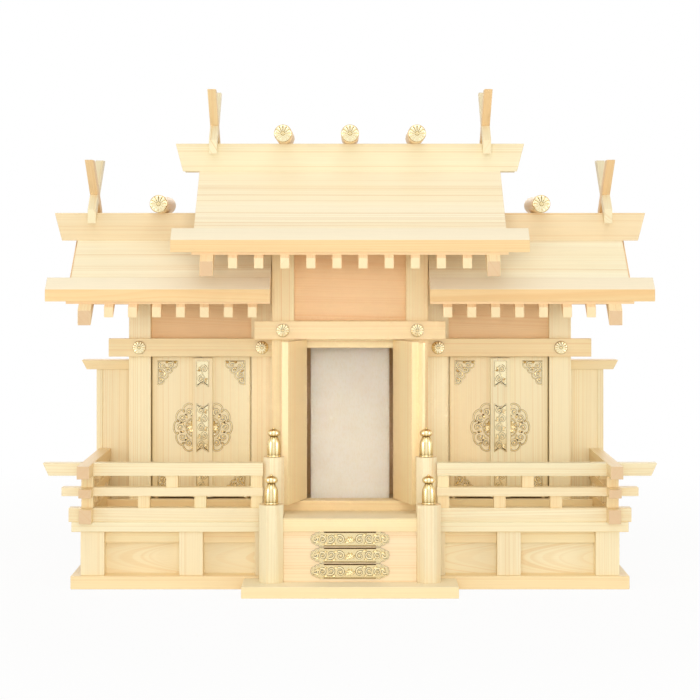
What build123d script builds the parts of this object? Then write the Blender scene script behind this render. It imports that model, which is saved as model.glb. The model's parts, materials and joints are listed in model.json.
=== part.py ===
"""Household shrine of three bays under stepped gable roofs, in plain cypress with gilt brass fittings.

Millimetres. +Z is up, the front looks along -Y, and the origin is the middle of the footprint on the shelf.
"""

import os
from dataclasses import dataclass
from math import cos, radians, sin, tan

from build123d import *

# Footprint and plinth
front_edge = -112.0
back_edge = 112.0
plinth_length = 448.6
plinth_front = -73.0
plinth_bar = 16.0
plinth_height = 10.6

# Boxed base under the deck, set back from the plinth's ends
base_setback = 7.7
base_front = -70.0
base_back = 110.0
base_post = 19.0
base_post_thickness = 12.0
base_inner_post_x = 127.8
base_stair_post_x = 67.0
base_rail_height = 9.8
base_rail_thickness = 6.0
base_panel = 3.0

# Deck
deck_setback = 0.5
deck_front = -71.5
deck_z = 45.8
deck_thickness = 7.8

# Stair in front of the middle bay
stair_base_length = 170.4
stair_base_height = 9.0
stair_face = -90.0
stair_top_height = 10.5
stair_top_nose = 1.0
stair_top_lap = 7.5
stair_rise_above_deck = 6.0
plate_length = 62.0
plate_height = 11.6
plate_pitch = 12.8
plate_lowest = 11.8
plate_thickness = 0.8
plate_bar = 44.0
plate_lobe = 8.6

# Newel posts with onion finials
front_newel_x = 62.5
front_newel_y = -87.5
front_newel_flats = 19.0
front_newel_top = 70.5
rear_newel_x = 61.5
rear_newel_y = -62.75
rear_newel_flats = 16.5
rear_newel_top = 105.3
finial_height = 24.0
finial_radius = 5.7

# Railing, its overhangs taken from the side rail's outer face
rail_front = -70.0
rail_depth = 10.5
side_rail_setback = 5.2
side_rail_width = 10.0
ground_rail_height = 11.2
middle_rail_z = 74.4
middle_rail_height = 6.9
top_rail_z = 90.7
top_rail_height = 10.2
ground_rail_overhang = 9.9
middle_rail_overhang = 15.6
top_rail_overhang = 30.6
top_rail_slant = 4.7
ground_rail_nose = 12.0
middle_rail_nose = 14.0
top_rail_nose = 23.0
fence_post = 9.5
fence_post_depth = 8.0
fence_newel_gap = 0.6

# Wing screens beside the outer bays
wing_front = 40.0
wing_post_width = 4.8
wing_post_depth = 11.6
wing_beyond_rail = 7.2
wing_panel = 4.0
wing_panel_recess = 0.8
wing_height = 115.4
wing_cap_height = 8.0
wing_cap_overhang_end = 12.5
wing_cap_slant = 4.4
wing_cap_overhang = 2.5

# Body of the shrine
pillar = 18.5
wall = 6.0
back_wall = 4.0
back_wall_front = 98.0
upper_wall = 4.0
upper_wall_recess = 6.5
sill_thickness = 3.5
beam_height = 15.4
beam_thickness = 5.0
middle_beam_overhang = 14.5
side_beam_overhang = 16.7
rosette_radius = 5.5
rosette_height = 1.8
rosette_dome = 1.2

# Middle bay of the front
middle_half_opening = 47.0
middle_pillar_front = -3.5
middle_sill_height = 8.4
middle_foot_gap = 0.6
middle_leaf_recess = 2.55
middle_hinge_inset = 7.0
middle_lintel_z = 197.0

# Side bays of the front
side_half_opening = 42.9
side_pillar_front = 20.0
side_sill_height = 6.2
side_foot_gap = 1.5
side_leaf_recess = 3.0
side_hinge_inset = 4.5
side_lintel_z = 181.3

# Doors
leaf_thickness = 5.9
leaf_head_gap = 0.6
leaf_meeting_gap = 0.3
leaf_hinge_edge = 3.6
leaf_chamfer = 1.0
pin_radius = 1.5
pin_length = 4.0
pin_clearance = 0.06
pin_end_clearance = 0.4
jamb_width = 10.4
frame_thickness = 3.5
frame_gap = 1.5
frame_drop = 7.7
strip_width = 16.8
strip_offset = 1.3
strip_head_gap = 1.0
strip_thickness = 3.0
strip_clearance = 0.35
middle_doors_open = 110.0

# Boards of all the roofs
roof_pitch = 39.0
eave_height = 10.1
eave_depth = 12.0
roof_board = 9.0
soffit_board = 2.8
soffit_setback = 1.0
roof_back = 103.0
rafter_width = 7.5
rafter_height = 8.6
rafter_nose = 2.0
end_rafter_width = 10.8
end_rafter_height = 12.6
end_rafter_nose = 5.0
back_rafter_end = 92.0
ridge_depth = 24.0
ridge_height = 23.8
ridge_slant = 6.2

# Main roof
main_eave_y = -58.0
main_eave_z = 270.3
main_ridge_y = 27.0
main_board_end = 127.7
main_soffit_end = 128.7
main_eave_end = 145.8
main_ridge_end = 148.0
main_end_rafter_x = 116.2
main_horn_x = 115.7
main_rafter_count = 10
main_billet_pitch = 56.0

# Side roofs, a thin gap away from the middle body
side_roof_gap = 0.6
side_eave_y = -28.0
side_eave_z = 229.4
side_ridge_y = 35.0
side_board_end = 232.4
side_soffit_end = 235.1
side_eave_end = 252.2
side_ridge_end = 252.0
side_end_rafter_x = 219.0
side_horn_x = 219.2
side_rafter_count = 7
side_rafter_inset = 14.6
side_billet_x = 160.7

# Billets and crossed finial boards on the ridges
billet_radius = 7.5
billet_length = 76.0
billet_seat = 0.4
horn_width = 6.9
horn_depth = 8.8
horn_lean = 48.5
horn_crossing = 15.6
back_horn_top = 46.5
front_horn_top = 44.2
horn_foot = 9.2

# Talisman standing inside the middle bay
talisman_width = 69.0
talisman_height = 242.0
talisman_thickness = 3.0
talisman_foot_y = 62.0
talisman_lean = 2.5

slope = tan(radians(roof_pitch))
deck_top = deck_z + deck_thickness
stair_top = deck_top + stair_rise_above_deck
middle_body_x = middle_half_opening + pillar
side_bay_x = middle_body_x + pillar + side_half_opening
side_body_x = side_bay_x + side_half_opening + pillar


@dataclass
class Roof:
    """One gabled roof, by the lines of its gable end and its limits along X."""

    eave_y: float
    eave_z: float
    ridge_y: float
    inner_x: float
    board_end: float
    soffit_end: float
    eave_end: float
    ridge_end: float
    end_rafter_x: float
    horn_x: float

    def bed(self, y):
        """Height of the soffit board's upper face, on which the roof boards lie."""
        return self.eave_z + slope * (self.ridge_y - self.eave_y - abs(y - self.ridge_y))

    def ceiling(self, y):
        """Height of the soffit board's under face."""
        return self.bed(y) - soffit_board

    def ridge_top(self):
        """Height of the ridge beam's top."""
        return self.bed(self.ridge_y + ridge_depth / 2) + roof_board + ridge_height


@dataclass
class Bay:
    """One bay of the front, with a pair of doors between two pillars."""

    x: float
    half_opening: float
    pillar_front: float
    sill_height: float
    foot_gap: float
    leaf_recess: float
    hinge_inset: float
    lintel_z: float
    roof: Roof

    def sill_top(self):
        """Height of the threshold's top."""
        return deck_top + self.sill_height

    def pivot_y(self):
        """Depth of the door pivots."""
        return self.pillar_front + self.leaf_recess + leaf_thickness / 2

    def pivot_x(self, side):
        """Place of the left (-1) or right (1) pivot along X."""
        return self.x + side * (self.half_opening - self.hinge_inset)

    def frame_front(self):
        """Depth of the inner frame's front face, behind the closed leaves."""
        return self.pivot_y() + leaf_thickness / 2 + frame_gap

    def frame_back(self):
        """Depth of the inner frame's back face."""
        return self.frame_front() + frame_thickness


main_roof = Roof(
    eave_y=main_eave_y,
    eave_z=main_eave_z,
    ridge_y=main_ridge_y,
    inner_x=0.0,
    board_end=main_board_end,
    soffit_end=main_soffit_end,
    eave_end=main_eave_end,
    ridge_end=main_ridge_end,
    end_rafter_x=main_end_rafter_x,
    horn_x=main_horn_x,
)
side_roof = Roof(
    eave_y=side_eave_y,
    eave_z=side_eave_z,
    ridge_y=side_ridge_y,
    inner_x=middle_body_x + side_roof_gap,
    board_end=side_board_end,
    soffit_end=side_soffit_end,
    eave_end=side_eave_end,
    ridge_end=side_ridge_end,
    end_rafter_x=side_end_rafter_x,
    horn_x=side_horn_x,
)
middle_bay = Bay(
    x=0.0,
    half_opening=middle_half_opening,
    pillar_front=middle_pillar_front,
    sill_height=middle_sill_height,
    foot_gap=middle_foot_gap,
    leaf_recess=middle_leaf_recess,
    hinge_inset=middle_hinge_inset,
    lintel_z=middle_lintel_z,
    roof=main_roof,
)


def side_bay(side):
    """The left (-1) or right (1) bay."""
    return Bay(
        x=side * side_bay_x,
        half_opening=side_half_opening,
        pillar_front=side_pillar_front,
        sill_height=side_sill_height,
        foot_gap=side_foot_gap,
        leaf_recess=side_leaf_recess,
        hinge_inset=side_hinge_inset,
        lintel_z=side_lintel_z,
        roof=side_roof,
    )


left_bay = side_bay(-1)
right_bay = side_bay(1)
bays = (middle_bay, left_bay, right_bay)

main_rafter_pitch = 2 * main_end_rafter_x / (main_rafter_count + 1)
side_rafter_first = side_roof.inner_x + side_rafter_inset
side_rafter_pitch = (side_end_rafter_x - side_rafter_first) / side_rafter_count

os.makedirs("parts", exist_ok=True)


def bar(x0, x1, y0, y1, z0, z1, mode=Mode.ADD):
    """Add or cut a straight bar between two limits on each axis."""
    with Locations(((x0 + x1) / 2, (y0 + y1) / 2, (z0 + z1) / 2)):
        Box(x1 - x0, y1 - y0, z1 - z0, mode=mode)


def gable_prism(x0, x1, points, mode=Mode.ADD):
    """Add or cut a prism along X whose outline is given as (y, z) points."""
    with BuildSketch(Plane.YZ.offset(x0)) as outline:
        with BuildLine():
            Polyline(*points, close=True)
        make_face()
    extrude(outline.sketch, amount=x1 - x0, mode=mode)


def under_roof(roof, x0, x1, y0, y1, z0):
    """Add an upright piece whose top is cut to the underside of a roof."""
    outline = [(y0, z0), (y1, z0), (y1, roof.ceiling(y1))]
    if y0 < roof.ridge_y < y1:
        outline.append((roof.ridge_y, roof.ceiling(roof.ridge_y)))
    outline.append((y0, roof.ceiling(y0)))
    gable_prism(x0, x1, outline)


def roof_layer(roof, x0, x1, y0, y1, low, high):
    """Add a sloping board between two depths, by its heights above the soffit's upper face."""
    gable_prism(
        x0,
        x1,
        [
            (y0, roof.bed(y0) + low),
            (y1, roof.bed(y1) + low),
            (y1, roof.bed(y1) + high),
            (y0, roof.bed(y0) + high),
        ],
    )


def slanted_bar(x0, x1, slant, y0, y1, z0, z1):
    """Add a bar along X whose outer end leans out by a slant towards its top."""
    with BuildSketch(Plane.XZ.offset(-y0)) as outline:
        with BuildLine():
            Polyline((x0, z0), (x1 - slant, z0), (x1, z1), (x0, z1), close=True)
        make_face()
    extrude(outline.sketch, amount=-(y1 - y0))


def save(part, name):
    """Label a finished piece and write it."""
    part.label = name
    export_step(part, f"parts/{name}.step")


# Plinth bars on the shelf
with BuildPart() as plinth_long_bars:
    for y in (plinth_front, back_edge - plinth_bar):
        bar(-plinth_length / 2, plinth_length / 2, y, y + plinth_bar, 0, plinth_height)
save(plinth_long_bars.part, "plinth_long_bars")

with BuildPart() as plinth_end_bars:
    bar(
        plinth_length / 2 - plinth_bar,
        plinth_length / 2,
        plinth_front + plinth_bar,
        back_edge - plinth_bar,
        0,
        plinth_height,
    )
    mirror(about=Plane.YZ)
save(plinth_end_bars.part, "plinth_end_bars")

# Posts, rails and panels of the boxed base
base_end = plinth_length / 2 - base_setback
deck_end = plinth_length / 2 - deck_setback
panel_front = base_front + base_post_thickness
side_panel_x = base_end - base_post_thickness
side_post_y = (base_front + base_back) / 2
front_posts_x = (base_stair_post_x, base_inner_post_x)

with BuildPart() as base_posts:
    for y in (base_front, base_back - base_post):
        bar(base_end - base_post, base_end, y, y + base_post, plinth_height, deck_z)
    for x in front_posts_x:
        bar(x - base_post / 2, x + base_post / 2, base_front, panel_front, plinth_height, deck_z)
    bar(
        side_panel_x,
        base_end,
        side_post_y - base_post / 2,
        side_post_y + base_post / 2,
        plinth_height,
        deck_z,
    )
    mirror(about=Plane.YZ)
save(base_posts.part, "base_posts")

with BuildPart() as base_rails:
    rail_bottom = deck_z - base_rail_height
    gaps = [
        (base_stair_post_x + base_post / 2, base_inner_post_x - base_post / 2),
        (base_inner_post_x + base_post / 2, base_end - base_post),
    ]
    for x0, x1 in gaps:
        bar(x0, x1, panel_front - base_rail_thickness, panel_front, rail_bottom, deck_z)
    side_gaps = [
        (base_front + base_post, side_post_y - base_post / 2),
        (side_post_y + base_post / 2, base_back - base_post),
    ]
    for y0, y1 in side_gaps:
        bar(side_panel_x, side_panel_x + base_rail_thickness, y0, y1, rail_bottom, deck_z)
    mirror(about=Plane.YZ)
save(base_rails.part, "base_rails")

with BuildPart() as base_panels:
    bar(
        side_panel_x - base_panel,
        side_panel_x,
        base_front + base_post,
        base_back - base_post,
        plinth_height,
        deck_z,
    )
    mirror(about=Plane.YZ)
    panel_end = base_end - base_post
    bar(-panel_end, panel_end, panel_front, panel_front + base_panel, plinth_height, deck_z)
    back_panel = base_back - base_post_thickness
    bar(-panel_end, panel_end, back_panel - base_panel, back_panel, plinth_height, deck_z)
save(base_panels.part, "base_panels")

with BuildPart() as deck_board:
    bar(-deck_end, deck_end, deck_front, back_edge, deck_z, deck_top)
save(deck_board.part, "deck_board")

# Stair block between the front newels
stair_half = front_newel_x - front_newel_flats / 2
stair_top_bottom = stair_top - stair_top_height

with BuildPart() as stair_base_board:
    bar(
        -stair_base_length / 2,
        stair_base_length / 2,
        front_edge,
        plinth_front,
        0,
        stair_base_height,
    )
save(stair_base_board.part, "stair_base_board")

with BuildPart() as stair_block:
    bar(-stair_half, stair_half, stair_face, plinth_front, stair_base_height, stair_top_bottom)
save(stair_block.part, "stair_block")

with BuildPart() as stair_top_board:
    nose = stair_face - stair_top_nose
    gable_prism(
        -stair_half,
        stair_half,
        [
            (nose, stair_top_bottom),
            (deck_front, stair_top_bottom),
            (deck_front, deck_top),
            (deck_front + stair_top_lap, deck_top),
            (deck_front + stair_top_lap, stair_top),
            (nose, stair_top),
        ],
    )
save(stair_top_board.part, "stair_top_board")

with BuildPart() as stair_plates:
    for step in range(3):
        centre_z = plate_lowest + plate_height / 2 + step * plate_pitch
        with BuildSketch(Plane.XZ.offset(-stair_face)):
            with Locations((0, centre_z)):
                Rectangle(plate_bar, plate_height)
                SlotOverall(plate_length, plate_lobe)
        extrude(amount=plate_thickness)
save(stair_plates.part, "stair_plates")

# Newel posts and their finials
newels = (
    (front_newel_x, front_newel_y, front_newel_flats, stair_base_height, front_newel_top),
    (rear_newel_x, rear_newel_y, rear_newel_flats, deck_top, rear_newel_top),
)

with BuildPart() as newel_posts:
    for x, y, flats, foot, top in newels:
        with BuildSketch(Plane.XY.offset(foot)):
            with Locations((x, y)):
                RegularPolygon(flats / 2, 8, major_radius=False, rotation=22.5)
        extrude(amount=top - foot)
    mirror(about=Plane.YZ)
save(newel_posts.part, "newel_posts")


def finial(x, y, z):
    """Add an onion-shaped finial: tall bell with sloping shoulders, neck, bulb and tip."""
    turned = (
        (1.0, 0.0),
        (0.93, 0.48),
        (0.52, 0.68),
        (0.86, 0.8),
        (0.3, 0.92),
    )
    with BuildSketch(Plane.XZ.offset(-y)) as profile:
        with BuildLine():
            Polyline(
                (x, z),
                *((x + out * finial_radius, z + up * finial_height) for out, up in turned),
                (x, z + finial_height),
                close=True,
            )
        make_face()
    revolve(profile.sketch, axis=Axis((x, y, z), (0, 0, 1)))


with BuildPart() as newel_finials:
    for x, y, flats, foot, top in newels:
        finial(x, y, top)
    mirror(about=Plane.YZ)
save(newel_finials.part, "newel_finials")

# Railing: rails along X and Y halved into each other at the corners
rails = (
    (deck_top, ground_rail_height, ground_rail_overhang, 0.0, ground_rail_nose),
    (middle_rail_z, middle_rail_height, middle_rail_overhang, 0.0, middle_rail_nose),
    (top_rail_z, top_rail_height, top_rail_overhang, top_rail_slant, top_rail_nose),
)
rail_back = rail_front + rail_depth
side_rail_x = base_end - side_rail_setback
side_rail_inner = side_rail_x - side_rail_width / 2
side_rail_outer = side_rail_x + side_rail_width / 2
newel_side = rear_newel_x + rear_newel_flats / 2

with BuildPart() as front_rails:
    for z, height, overhang, slant, rail_nose in rails:
        end = side_rail_outer + overhang
        slanted_bar(newel_side, end, slant, rail_front, rail_back, z, z + height)
        bar(
            side_rail_inner,
            side_rail_outer,
            rail_front,
            rail_back,
            z + height / 2,
            z + height,
            mode=Mode.SUBTRACT,
        )
    mirror(about=Plane.YZ)
save(front_rails.part, "front_rails")

with BuildPart() as side_rails:
    for z, height, overhang, slant, rail_nose in rails:
        bar(
            side_rail_inner,
            side_rail_outer,
            rail_front - rail_nose,
            wing_front,
            z,
            z + height,
        )
        bar(
            side_rail_inner,
            side_rail_outer,
            rail_front,
            rail_back,
            z,
            z + height / 2,
            mode=Mode.SUBTRACT,
        )
    mirror(about=Plane.YZ)
save(side_rails.part, "side_rails")

lower_gap = (deck_top + ground_rail_height, middle_rail_z)
upper_gap = (middle_rail_z + middle_rail_height, top_rail_z)
rail_centre_y = rail_front + rail_depth / 2


def fence_row(first, last):
    """Places of short posts along one side: (share of the way, gap) for each post."""
    row = [(1 / 3, lower_gap), (2 / 3, lower_gap), (1 / 2, upper_gap)]
    row += [(1, lower_gap), (1, upper_gap)]
    return [(first + share * (last - first), gap) for share, gap in row]


with BuildPart() as fence_posts:
    first_post = newel_side + fence_post / 2 + fence_newel_gap
    front_row = fence_row(side_rail_x, first_post)
    front_row += [(side_rail_x, lower_gap), (side_rail_x, upper_gap)]
    for x, (low, high) in front_row:
        with Locations((x, rail_centre_y, (low + high) / 2)):
            Box(fence_post, fence_post_depth, high - low)
    for y, (low, high) in fence_row(rail_centre_y, wing_front - fence_post / 2):
        with Locations((side_rail_x, y, (low + high) / 2)):
            Box(fence_post_depth, fence_post, high - low)
    mirror(about=Plane.YZ)
save(fence_posts.part, "fence_posts")

# Wing screens
wing_top = deck_top + wing_height
wing_outer = side_rail_x + wing_beyond_rail
wing_inner = wing_outer - wing_post_width
wing_back = wing_front + wing_post_depth

with BuildPart() as wing_posts:
    bar(wing_inner, wing_outer, wing_front, wing_back, deck_top, wing_top)
    mirror(about=Plane.YZ)
save(wing_posts.part, "wing_posts")

with BuildPart() as wing_panels:
    wing_panel_front = wing_front + wing_panel_recess
    bar(
        side_body_x,
        wing_inner,
        wing_panel_front,
        wing_panel_front + wing_panel,
        deck_top,
        wing_top,
    )
    mirror(about=Plane.YZ)
save(wing_panels.part, "wing_panels")

with BuildPart() as wing_caps:
    slanted_bar(
        side_body_x,
        wing_outer + wing_cap_overhang_end,
        wing_cap_slant,
        wing_front - wing_cap_overhang,
        wing_back + wing_cap_overhang,
        wing_top,
        wing_top + wing_cap_height,
    )
    mirror(about=Plane.YZ)
save(wing_caps.part, "wing_caps")

# Pillars
with BuildPart() as middle_pillars:
    y0 = middle_bay.pillar_front
    under_roof(main_roof, middle_bay.half_opening, middle_body_x, y0, y0 + pillar, deck_top)
    mirror(about=Plane.YZ)
save(middle_pillars.part, "middle_pillars")

with BuildPart() as side_pillars:
    y0 = right_bay.pillar_front
    inner_x = right_bay.x - right_bay.half_opening
    under_roof(side_roof, inner_x - pillar, inner_x, y0, y0 + pillar, deck_top)
    under_roof(side_roof, side_body_x - pillar, side_body_x, y0, y0 + pillar, deck_top)
    mirror(about=Plane.YZ)
save(side_pillars.part, "side_pillars")

# Sills and tie beams on the pillars' faces
middle_beam_end = middle_body_x + middle_beam_overhang
side_beam_end = side_body_x + side_beam_overhang

with BuildPart() as sill_beams:
    y1 = side_pillar_front
    z1 = right_bay.sill_top()
    bar(middle_body_x, side_rail_inner, y1 - sill_thickness, y1, deck_top, z1)
    mirror(about=Plane.YZ)
    y1 = middle_pillar_front
    z1 = middle_bay.sill_top()
    bar(-middle_beam_end, middle_beam_end, y1 - sill_thickness, y1, deck_top, z1)
save(sill_beams.part, "sill_beams")

with BuildPart() as tie_beams:
    z0 = right_bay.lintel_z
    y1 = right_bay.pillar_front
    bar(middle_body_x, side_beam_end, y1 - beam_thickness, y1, z0, z0 + beam_height)
    mirror(about=Plane.YZ)
    z0 = middle_bay.lintel_z
    y1 = middle_bay.pillar_front
    bar(-middle_beam_end, middle_beam_end, y1 - beam_thickness, y1, z0, z0 + beam_height)
save(tie_beams.part, "tie_beams")


def rosette(x, y, z):
    """Add a rosette whose back lies at depth y: a rim, a sloping field and a low boss."""
    rim = rosette_height - rosette_dome
    field = rim + 0.75 * rosette_dome
    with BuildSketch(Plane.YZ.offset(x)) as profile:
        with BuildLine():
            Polyline(
                (y, z),
                (y, z + rosette_radius),
                (y - rim, z + rosette_radius),
                (y - field, z + 0.55 * rosette_radius),
                (y - rosette_height, z),
                close=True,
            )
        make_face()
    revolve(profile.sketch, axis=Axis((x, y, z), (0, 1, 0)))


with BuildPart() as beam_rosettes:
    y_face = middle_bay.pillar_front - beam_thickness
    z_face = middle_bay.lintel_z + beam_height / 2
    rosette(middle_bay.half_opening + pillar / 2, y_face, z_face)
    y_face = right_bay.pillar_front - beam_thickness
    z_face = right_bay.lintel_z + beam_height / 2
    rosette(right_bay.x - right_bay.half_opening - pillar / 2, y_face, z_face)
    rosette(right_bay.x + right_bay.half_opening + pillar / 2, y_face, z_face)
    mirror(about=Plane.YZ)
save(beam_rosettes.part, "beam_rosettes")


# Thresholds and lintels, bored for the door pins
def door_rail(bay, z0, height, hole_z):
    """Add a rail between a bay's pillars, bored for its two door pins from hole_z."""
    depth = pin_length + pin_end_clearance
    bar(
        bay.x - bay.half_opening,
        bay.x + bay.half_opening,
        bay.pillar_front,
        bay.frame_back(),
        z0,
        z0 + height,
    )
    for side in (-1, 1):
        with Locations((bay.pivot_x(side), bay.pivot_y(), hole_z)):
            Cylinder(pin_radius + pin_clearance, 2 * depth, mode=Mode.SUBTRACT)


with BuildPart() as thresholds:
    for bay in bays:
        door_rail(bay, deck_top, bay.sill_height, bay.sill_top())
save(thresholds.part, "thresholds")

with BuildPart() as lintels:
    for bay in bays:
        door_rail(bay, bay.lintel_z, beam_height, bay.lintel_z)
save(lintels.part, "lintels")

# Inner frames behind the doors
with BuildPart() as door_jambs:
    for bay in bays:
        for side in (-1, 1):
            x0 = bay.x + side * bay.half_opening
            x1 = x0 - side * jamb_width
            bar(
                min(x0, x1),
                max(x0, x1),
                bay.frame_front(),
                bay.frame_back(),
                bay.sill_top(),
                bay.lintel_z - frame_drop,
            )
save(door_jambs.part, "door_jambs")

with BuildPart() as door_headers:
    for bay in bays:
        bar(
            bay.x - bay.half_opening,
            bay.x + bay.half_opening,
            bay.frame_front(),
            bay.frame_back(),
            bay.lintel_z - frame_drop,
            bay.lintel_z,
        )
save(door_headers.part, "door_headers")

# Walls
with BuildPart() as upper_walls:
    for bay in bays:
        y0 = bay.pillar_front + upper_wall_recess
        under_roof(
            bay.roof,
            bay.x - bay.half_opening,
            bay.x + bay.half_opening,
            y0,
            y0 + upper_wall,
            bay.lintel_z + beam_height,
        )
save(upper_walls.part, "upper_walls")

with BuildPart() as side_walls:
    back_y = back_wall_front + back_wall
    wall_y = middle_bay.pillar_front + pillar
    under_roof(main_roof, middle_body_x - wall, middle_body_x, wall_y, back_y, deck_top)
    wall_y = right_bay.pillar_front + pillar
    under_roof(side_roof, side_body_x - wall, side_body_x, wall_y, back_y, deck_top)
    mirror(about=Plane.YZ)
save(side_walls.part, "side_walls")

with BuildPart() as back_walls:
    under_roof(side_roof, middle_body_x, side_body_x - wall, back_wall_front, back_y, deck_top)
    mirror(about=Plane.YZ)
    inner = middle_body_x - wall
    under_roof(main_roof, -inner, inner, back_wall_front, back_y, deck_top)
save(back_walls.part, "back_walls")


# Roofs
def both_roofs(layer):
    """Make a layer on the side roof, mirror it, and make it on the main roof."""
    layer(side_roof, side_roof.inner_x)
    mirror(about=Plane.YZ)
    layer(main_roof, None)


def span(roof, inner, end):
    """Limits along X: the whole main roof, or one side roof from the middle body out."""
    return (-end, end) if inner is None else (inner, end)


def front_boards(roof, inner):
    """Roof boards from behind the eave board up to the ridge."""
    x0, x1 = span(roof, inner, roof.board_end)
    roof_layer(roof, x0, x1, roof.eave_y + eave_depth, roof.ridge_y, 0, roof_board)


def back_boards(roof, inner):
    """Roof boards from the ridge down to just past the back wall."""
    x0, x1 = span(roof, inner, roof.board_end)
    roof_layer(roof, x0, x1, roof.ridge_y, roof_back, 0, roof_board)


def eaves(roof, inner):
    """Thick eave boards along the front."""
    x0, x1 = span(roof, inner, roof.eave_end)
    roof_layer(roof, x0, x1, roof.eave_y, roof.eave_y + eave_depth, 0, eave_height)


def front_soffit(roof, inner):
    """Thin soffit boards under the front slope."""
    x0, x1 = span(roof, inner, roof.soffit_end)
    roof_layer(roof, x0, x1, roof.eave_y + soffit_setback, roof.ridge_y, -soffit_board, 0)


def back_soffit(roof, inner):
    """Thin soffit boards under the back slope."""
    x0, x1 = span(roof, inner, roof.soffit_end)
    roof_layer(roof, x0, x1, roof.ridge_y, roof_back, -soffit_board, 0)


with BuildPart() as front_roof_boards:
    both_roofs(front_boards)
save(front_roof_boards.part, "front_roof_boards")

with BuildPart() as back_roof_boards:
    both_roofs(back_boards)
save(back_roof_boards.part, "back_roof_boards")

with BuildPart() as eave_boards:
    both_roofs(eaves)
save(eave_boards.part, "eave_boards")

with BuildPart() as front_soffits:
    both_roofs(front_soffit)
save(front_soffits.part, "front_soffits")

with BuildPart() as back_soffits:
    both_roofs(back_soffit)
save(back_soffits.part, "back_soffits")


def rafter(roof, x, width, height, y0, y1):
    """Add a rafter under the soffit between two depths."""
    top = -soffit_board
    roof_layer(roof, x - width / 2, x + width / 2, y0, y1, top - height, top)


with BuildPart() as small_rafters:
    for index in range(side_rafter_count):
        x = side_rafter_first + index * side_rafter_pitch
        nose = side_roof.eave_y - rafter_nose
        rafter(side_roof, x, rafter_width, rafter_height, nose, right_bay.pillar_front)
    mirror(about=Plane.YZ)
    for index in range(main_rafter_count):
        x = (index - (main_rafter_count - 1) / 2) * main_rafter_pitch
        nose = main_roof.eave_y - rafter_nose
        rafter(main_roof, x, rafter_width, rafter_height, nose, middle_bay.pillar_front)
save(small_rafters.part, "small_rafters")

with BuildPart() as front_end_rafters:
    for roof in (main_roof, side_roof):
        nose = roof.eave_y - end_rafter_nose
        rafter(roof, roof.end_rafter_x, end_rafter_width, end_rafter_height, nose, roof.ridge_y)
    mirror(about=Plane.YZ)
save(front_end_rafters.part, "front_end_rafters")

with BuildPart() as back_end_rafters:
    for roof in (main_roof, side_roof):
        x = roof.end_rafter_x
        rafter(roof, x, end_rafter_width, rafter_height, roof.ridge_y, back_rafter_end)
    mirror(about=Plane.YZ)
save(back_end_rafters.part, "back_end_rafters")


# Ridge beams saddled over the ridge, their ends leaning out
def ridge_beam(roof, x0):
    """Add one ridge beam from x0 to its slanted outer end, notched to the roof's two slopes."""
    front = roof.ridge_y - ridge_depth / 2
    back = roof.ridge_y + ridge_depth / 2
    foot = roof.bed(front) + roof_board
    slanted_bar(x0, roof.ridge_end, ridge_slant, front, back, foot, roof.ridge_top())
    apex = roof.bed(roof.ridge_y) + roof_board
    gable_prism(
        x0,
        roof.ridge_end,
        [(front, foot), (back, foot), (roof.ridge_y, apex)],
        mode=Mode.SUBTRACT,
    )


with BuildPart() as ridge_beams:
    ridge_beam(main_roof, main_roof.inner_x)
    ridge_beam(side_roof, side_roof.inner_x)
    mirror(about=Plane.YZ)
save(ridge_beams.part, "ridge_beams")

# Billets across the ridges, each on a small flat
billets = (
    (main_roof, main_billet_pitch),
    (side_roof, side_billet_x),
)


def billet(roof, x):
    """Add a round billet across a ridge."""
    z = roof.ridge_top() + billet_radius - billet_seat
    with Locations((x, roof.ridge_y, z)):
        Cylinder(billet_radius, billet_length, rotation=(90, 0, 0))
    bar(
        x - billet_radius,
        x + billet_radius,
        roof.ridge_y - billet_length / 2,
        roof.ridge_y + billet_length / 2,
        z - billet_radius,
        roof.ridge_top(),
        mode=Mode.SUBTRACT,
    )


with BuildPart() as ridge_billets:
    for roof, x in billets:
        billet(roof, x)
    mirror(about=Plane.YZ)
    billet(main_roof, 0.0)
save(ridge_billets.part, "ridge_billets")

with BuildPart() as billet_rosettes:
    for roof, x in billets:
        z = roof.ridge_top() + billet_radius - billet_seat
        rosette(x, roof.ridge_y - billet_length / 2, z)
    mirror(about=Plane.YZ)
    z = main_roof.ridge_top() + billet_radius - billet_seat
    rosette(0.0, main_roof.ridge_y - billet_length / 2, z)
save(billet_rosettes.part, "billet_rosettes")


# Crossed finial boards, halved into each other over the ridge, their feet cut plumb
def horn(roof, lean, lap_side, top):
    """Add one of a crossed pair, leaning to the back (1) or the front (-1) at its top."""
    x0 = roof.horn_x - horn_width / 2
    x1 = roof.horn_x + horn_width / 2
    ridge_top = roof.ridge_top()
    cross_z = ridge_top + horn_crossing
    run = tan(radians(horn_lean))
    half = horn_depth / 2 / cos(radians(horn_lean))
    plumb = horn_depth / sin(radians(horn_lean))

    def centre_y(z):
        return roof.ridge_y + lean * (z - cross_z) * run

    low = ridge_top - horn_foot
    high = ridge_top + top
    foot_y = centre_y(low) + lean * half
    gable_prism(
        x0,
        x1,
        [
            (foot_y, low),
            (foot_y, low + plumb),
            (centre_y(high) - lean * half, high),
            (centre_y(high) + lean * half, high),
        ],
    )
    lap_x = (x0, roof.horn_x) if lap_side < 0 else (roof.horn_x, x1)
    gable_prism(
        *lap_x,
        [
            (roof.ridge_y - half, cross_z),
            (roof.ridge_y, cross_z - plumb / 2),
            (roof.ridge_y + half, cross_z),
            (roof.ridge_y, cross_z + plumb / 2),
        ],
        mode=Mode.SUBTRACT,
    )
    bar(
        x0,
        x1,
        roof.ridge_y - ridge_depth / 2,
        roof.ridge_y + ridge_depth / 2,
        low,
        ridge_top,
        mode=Mode.SUBTRACT,
    )


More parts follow.
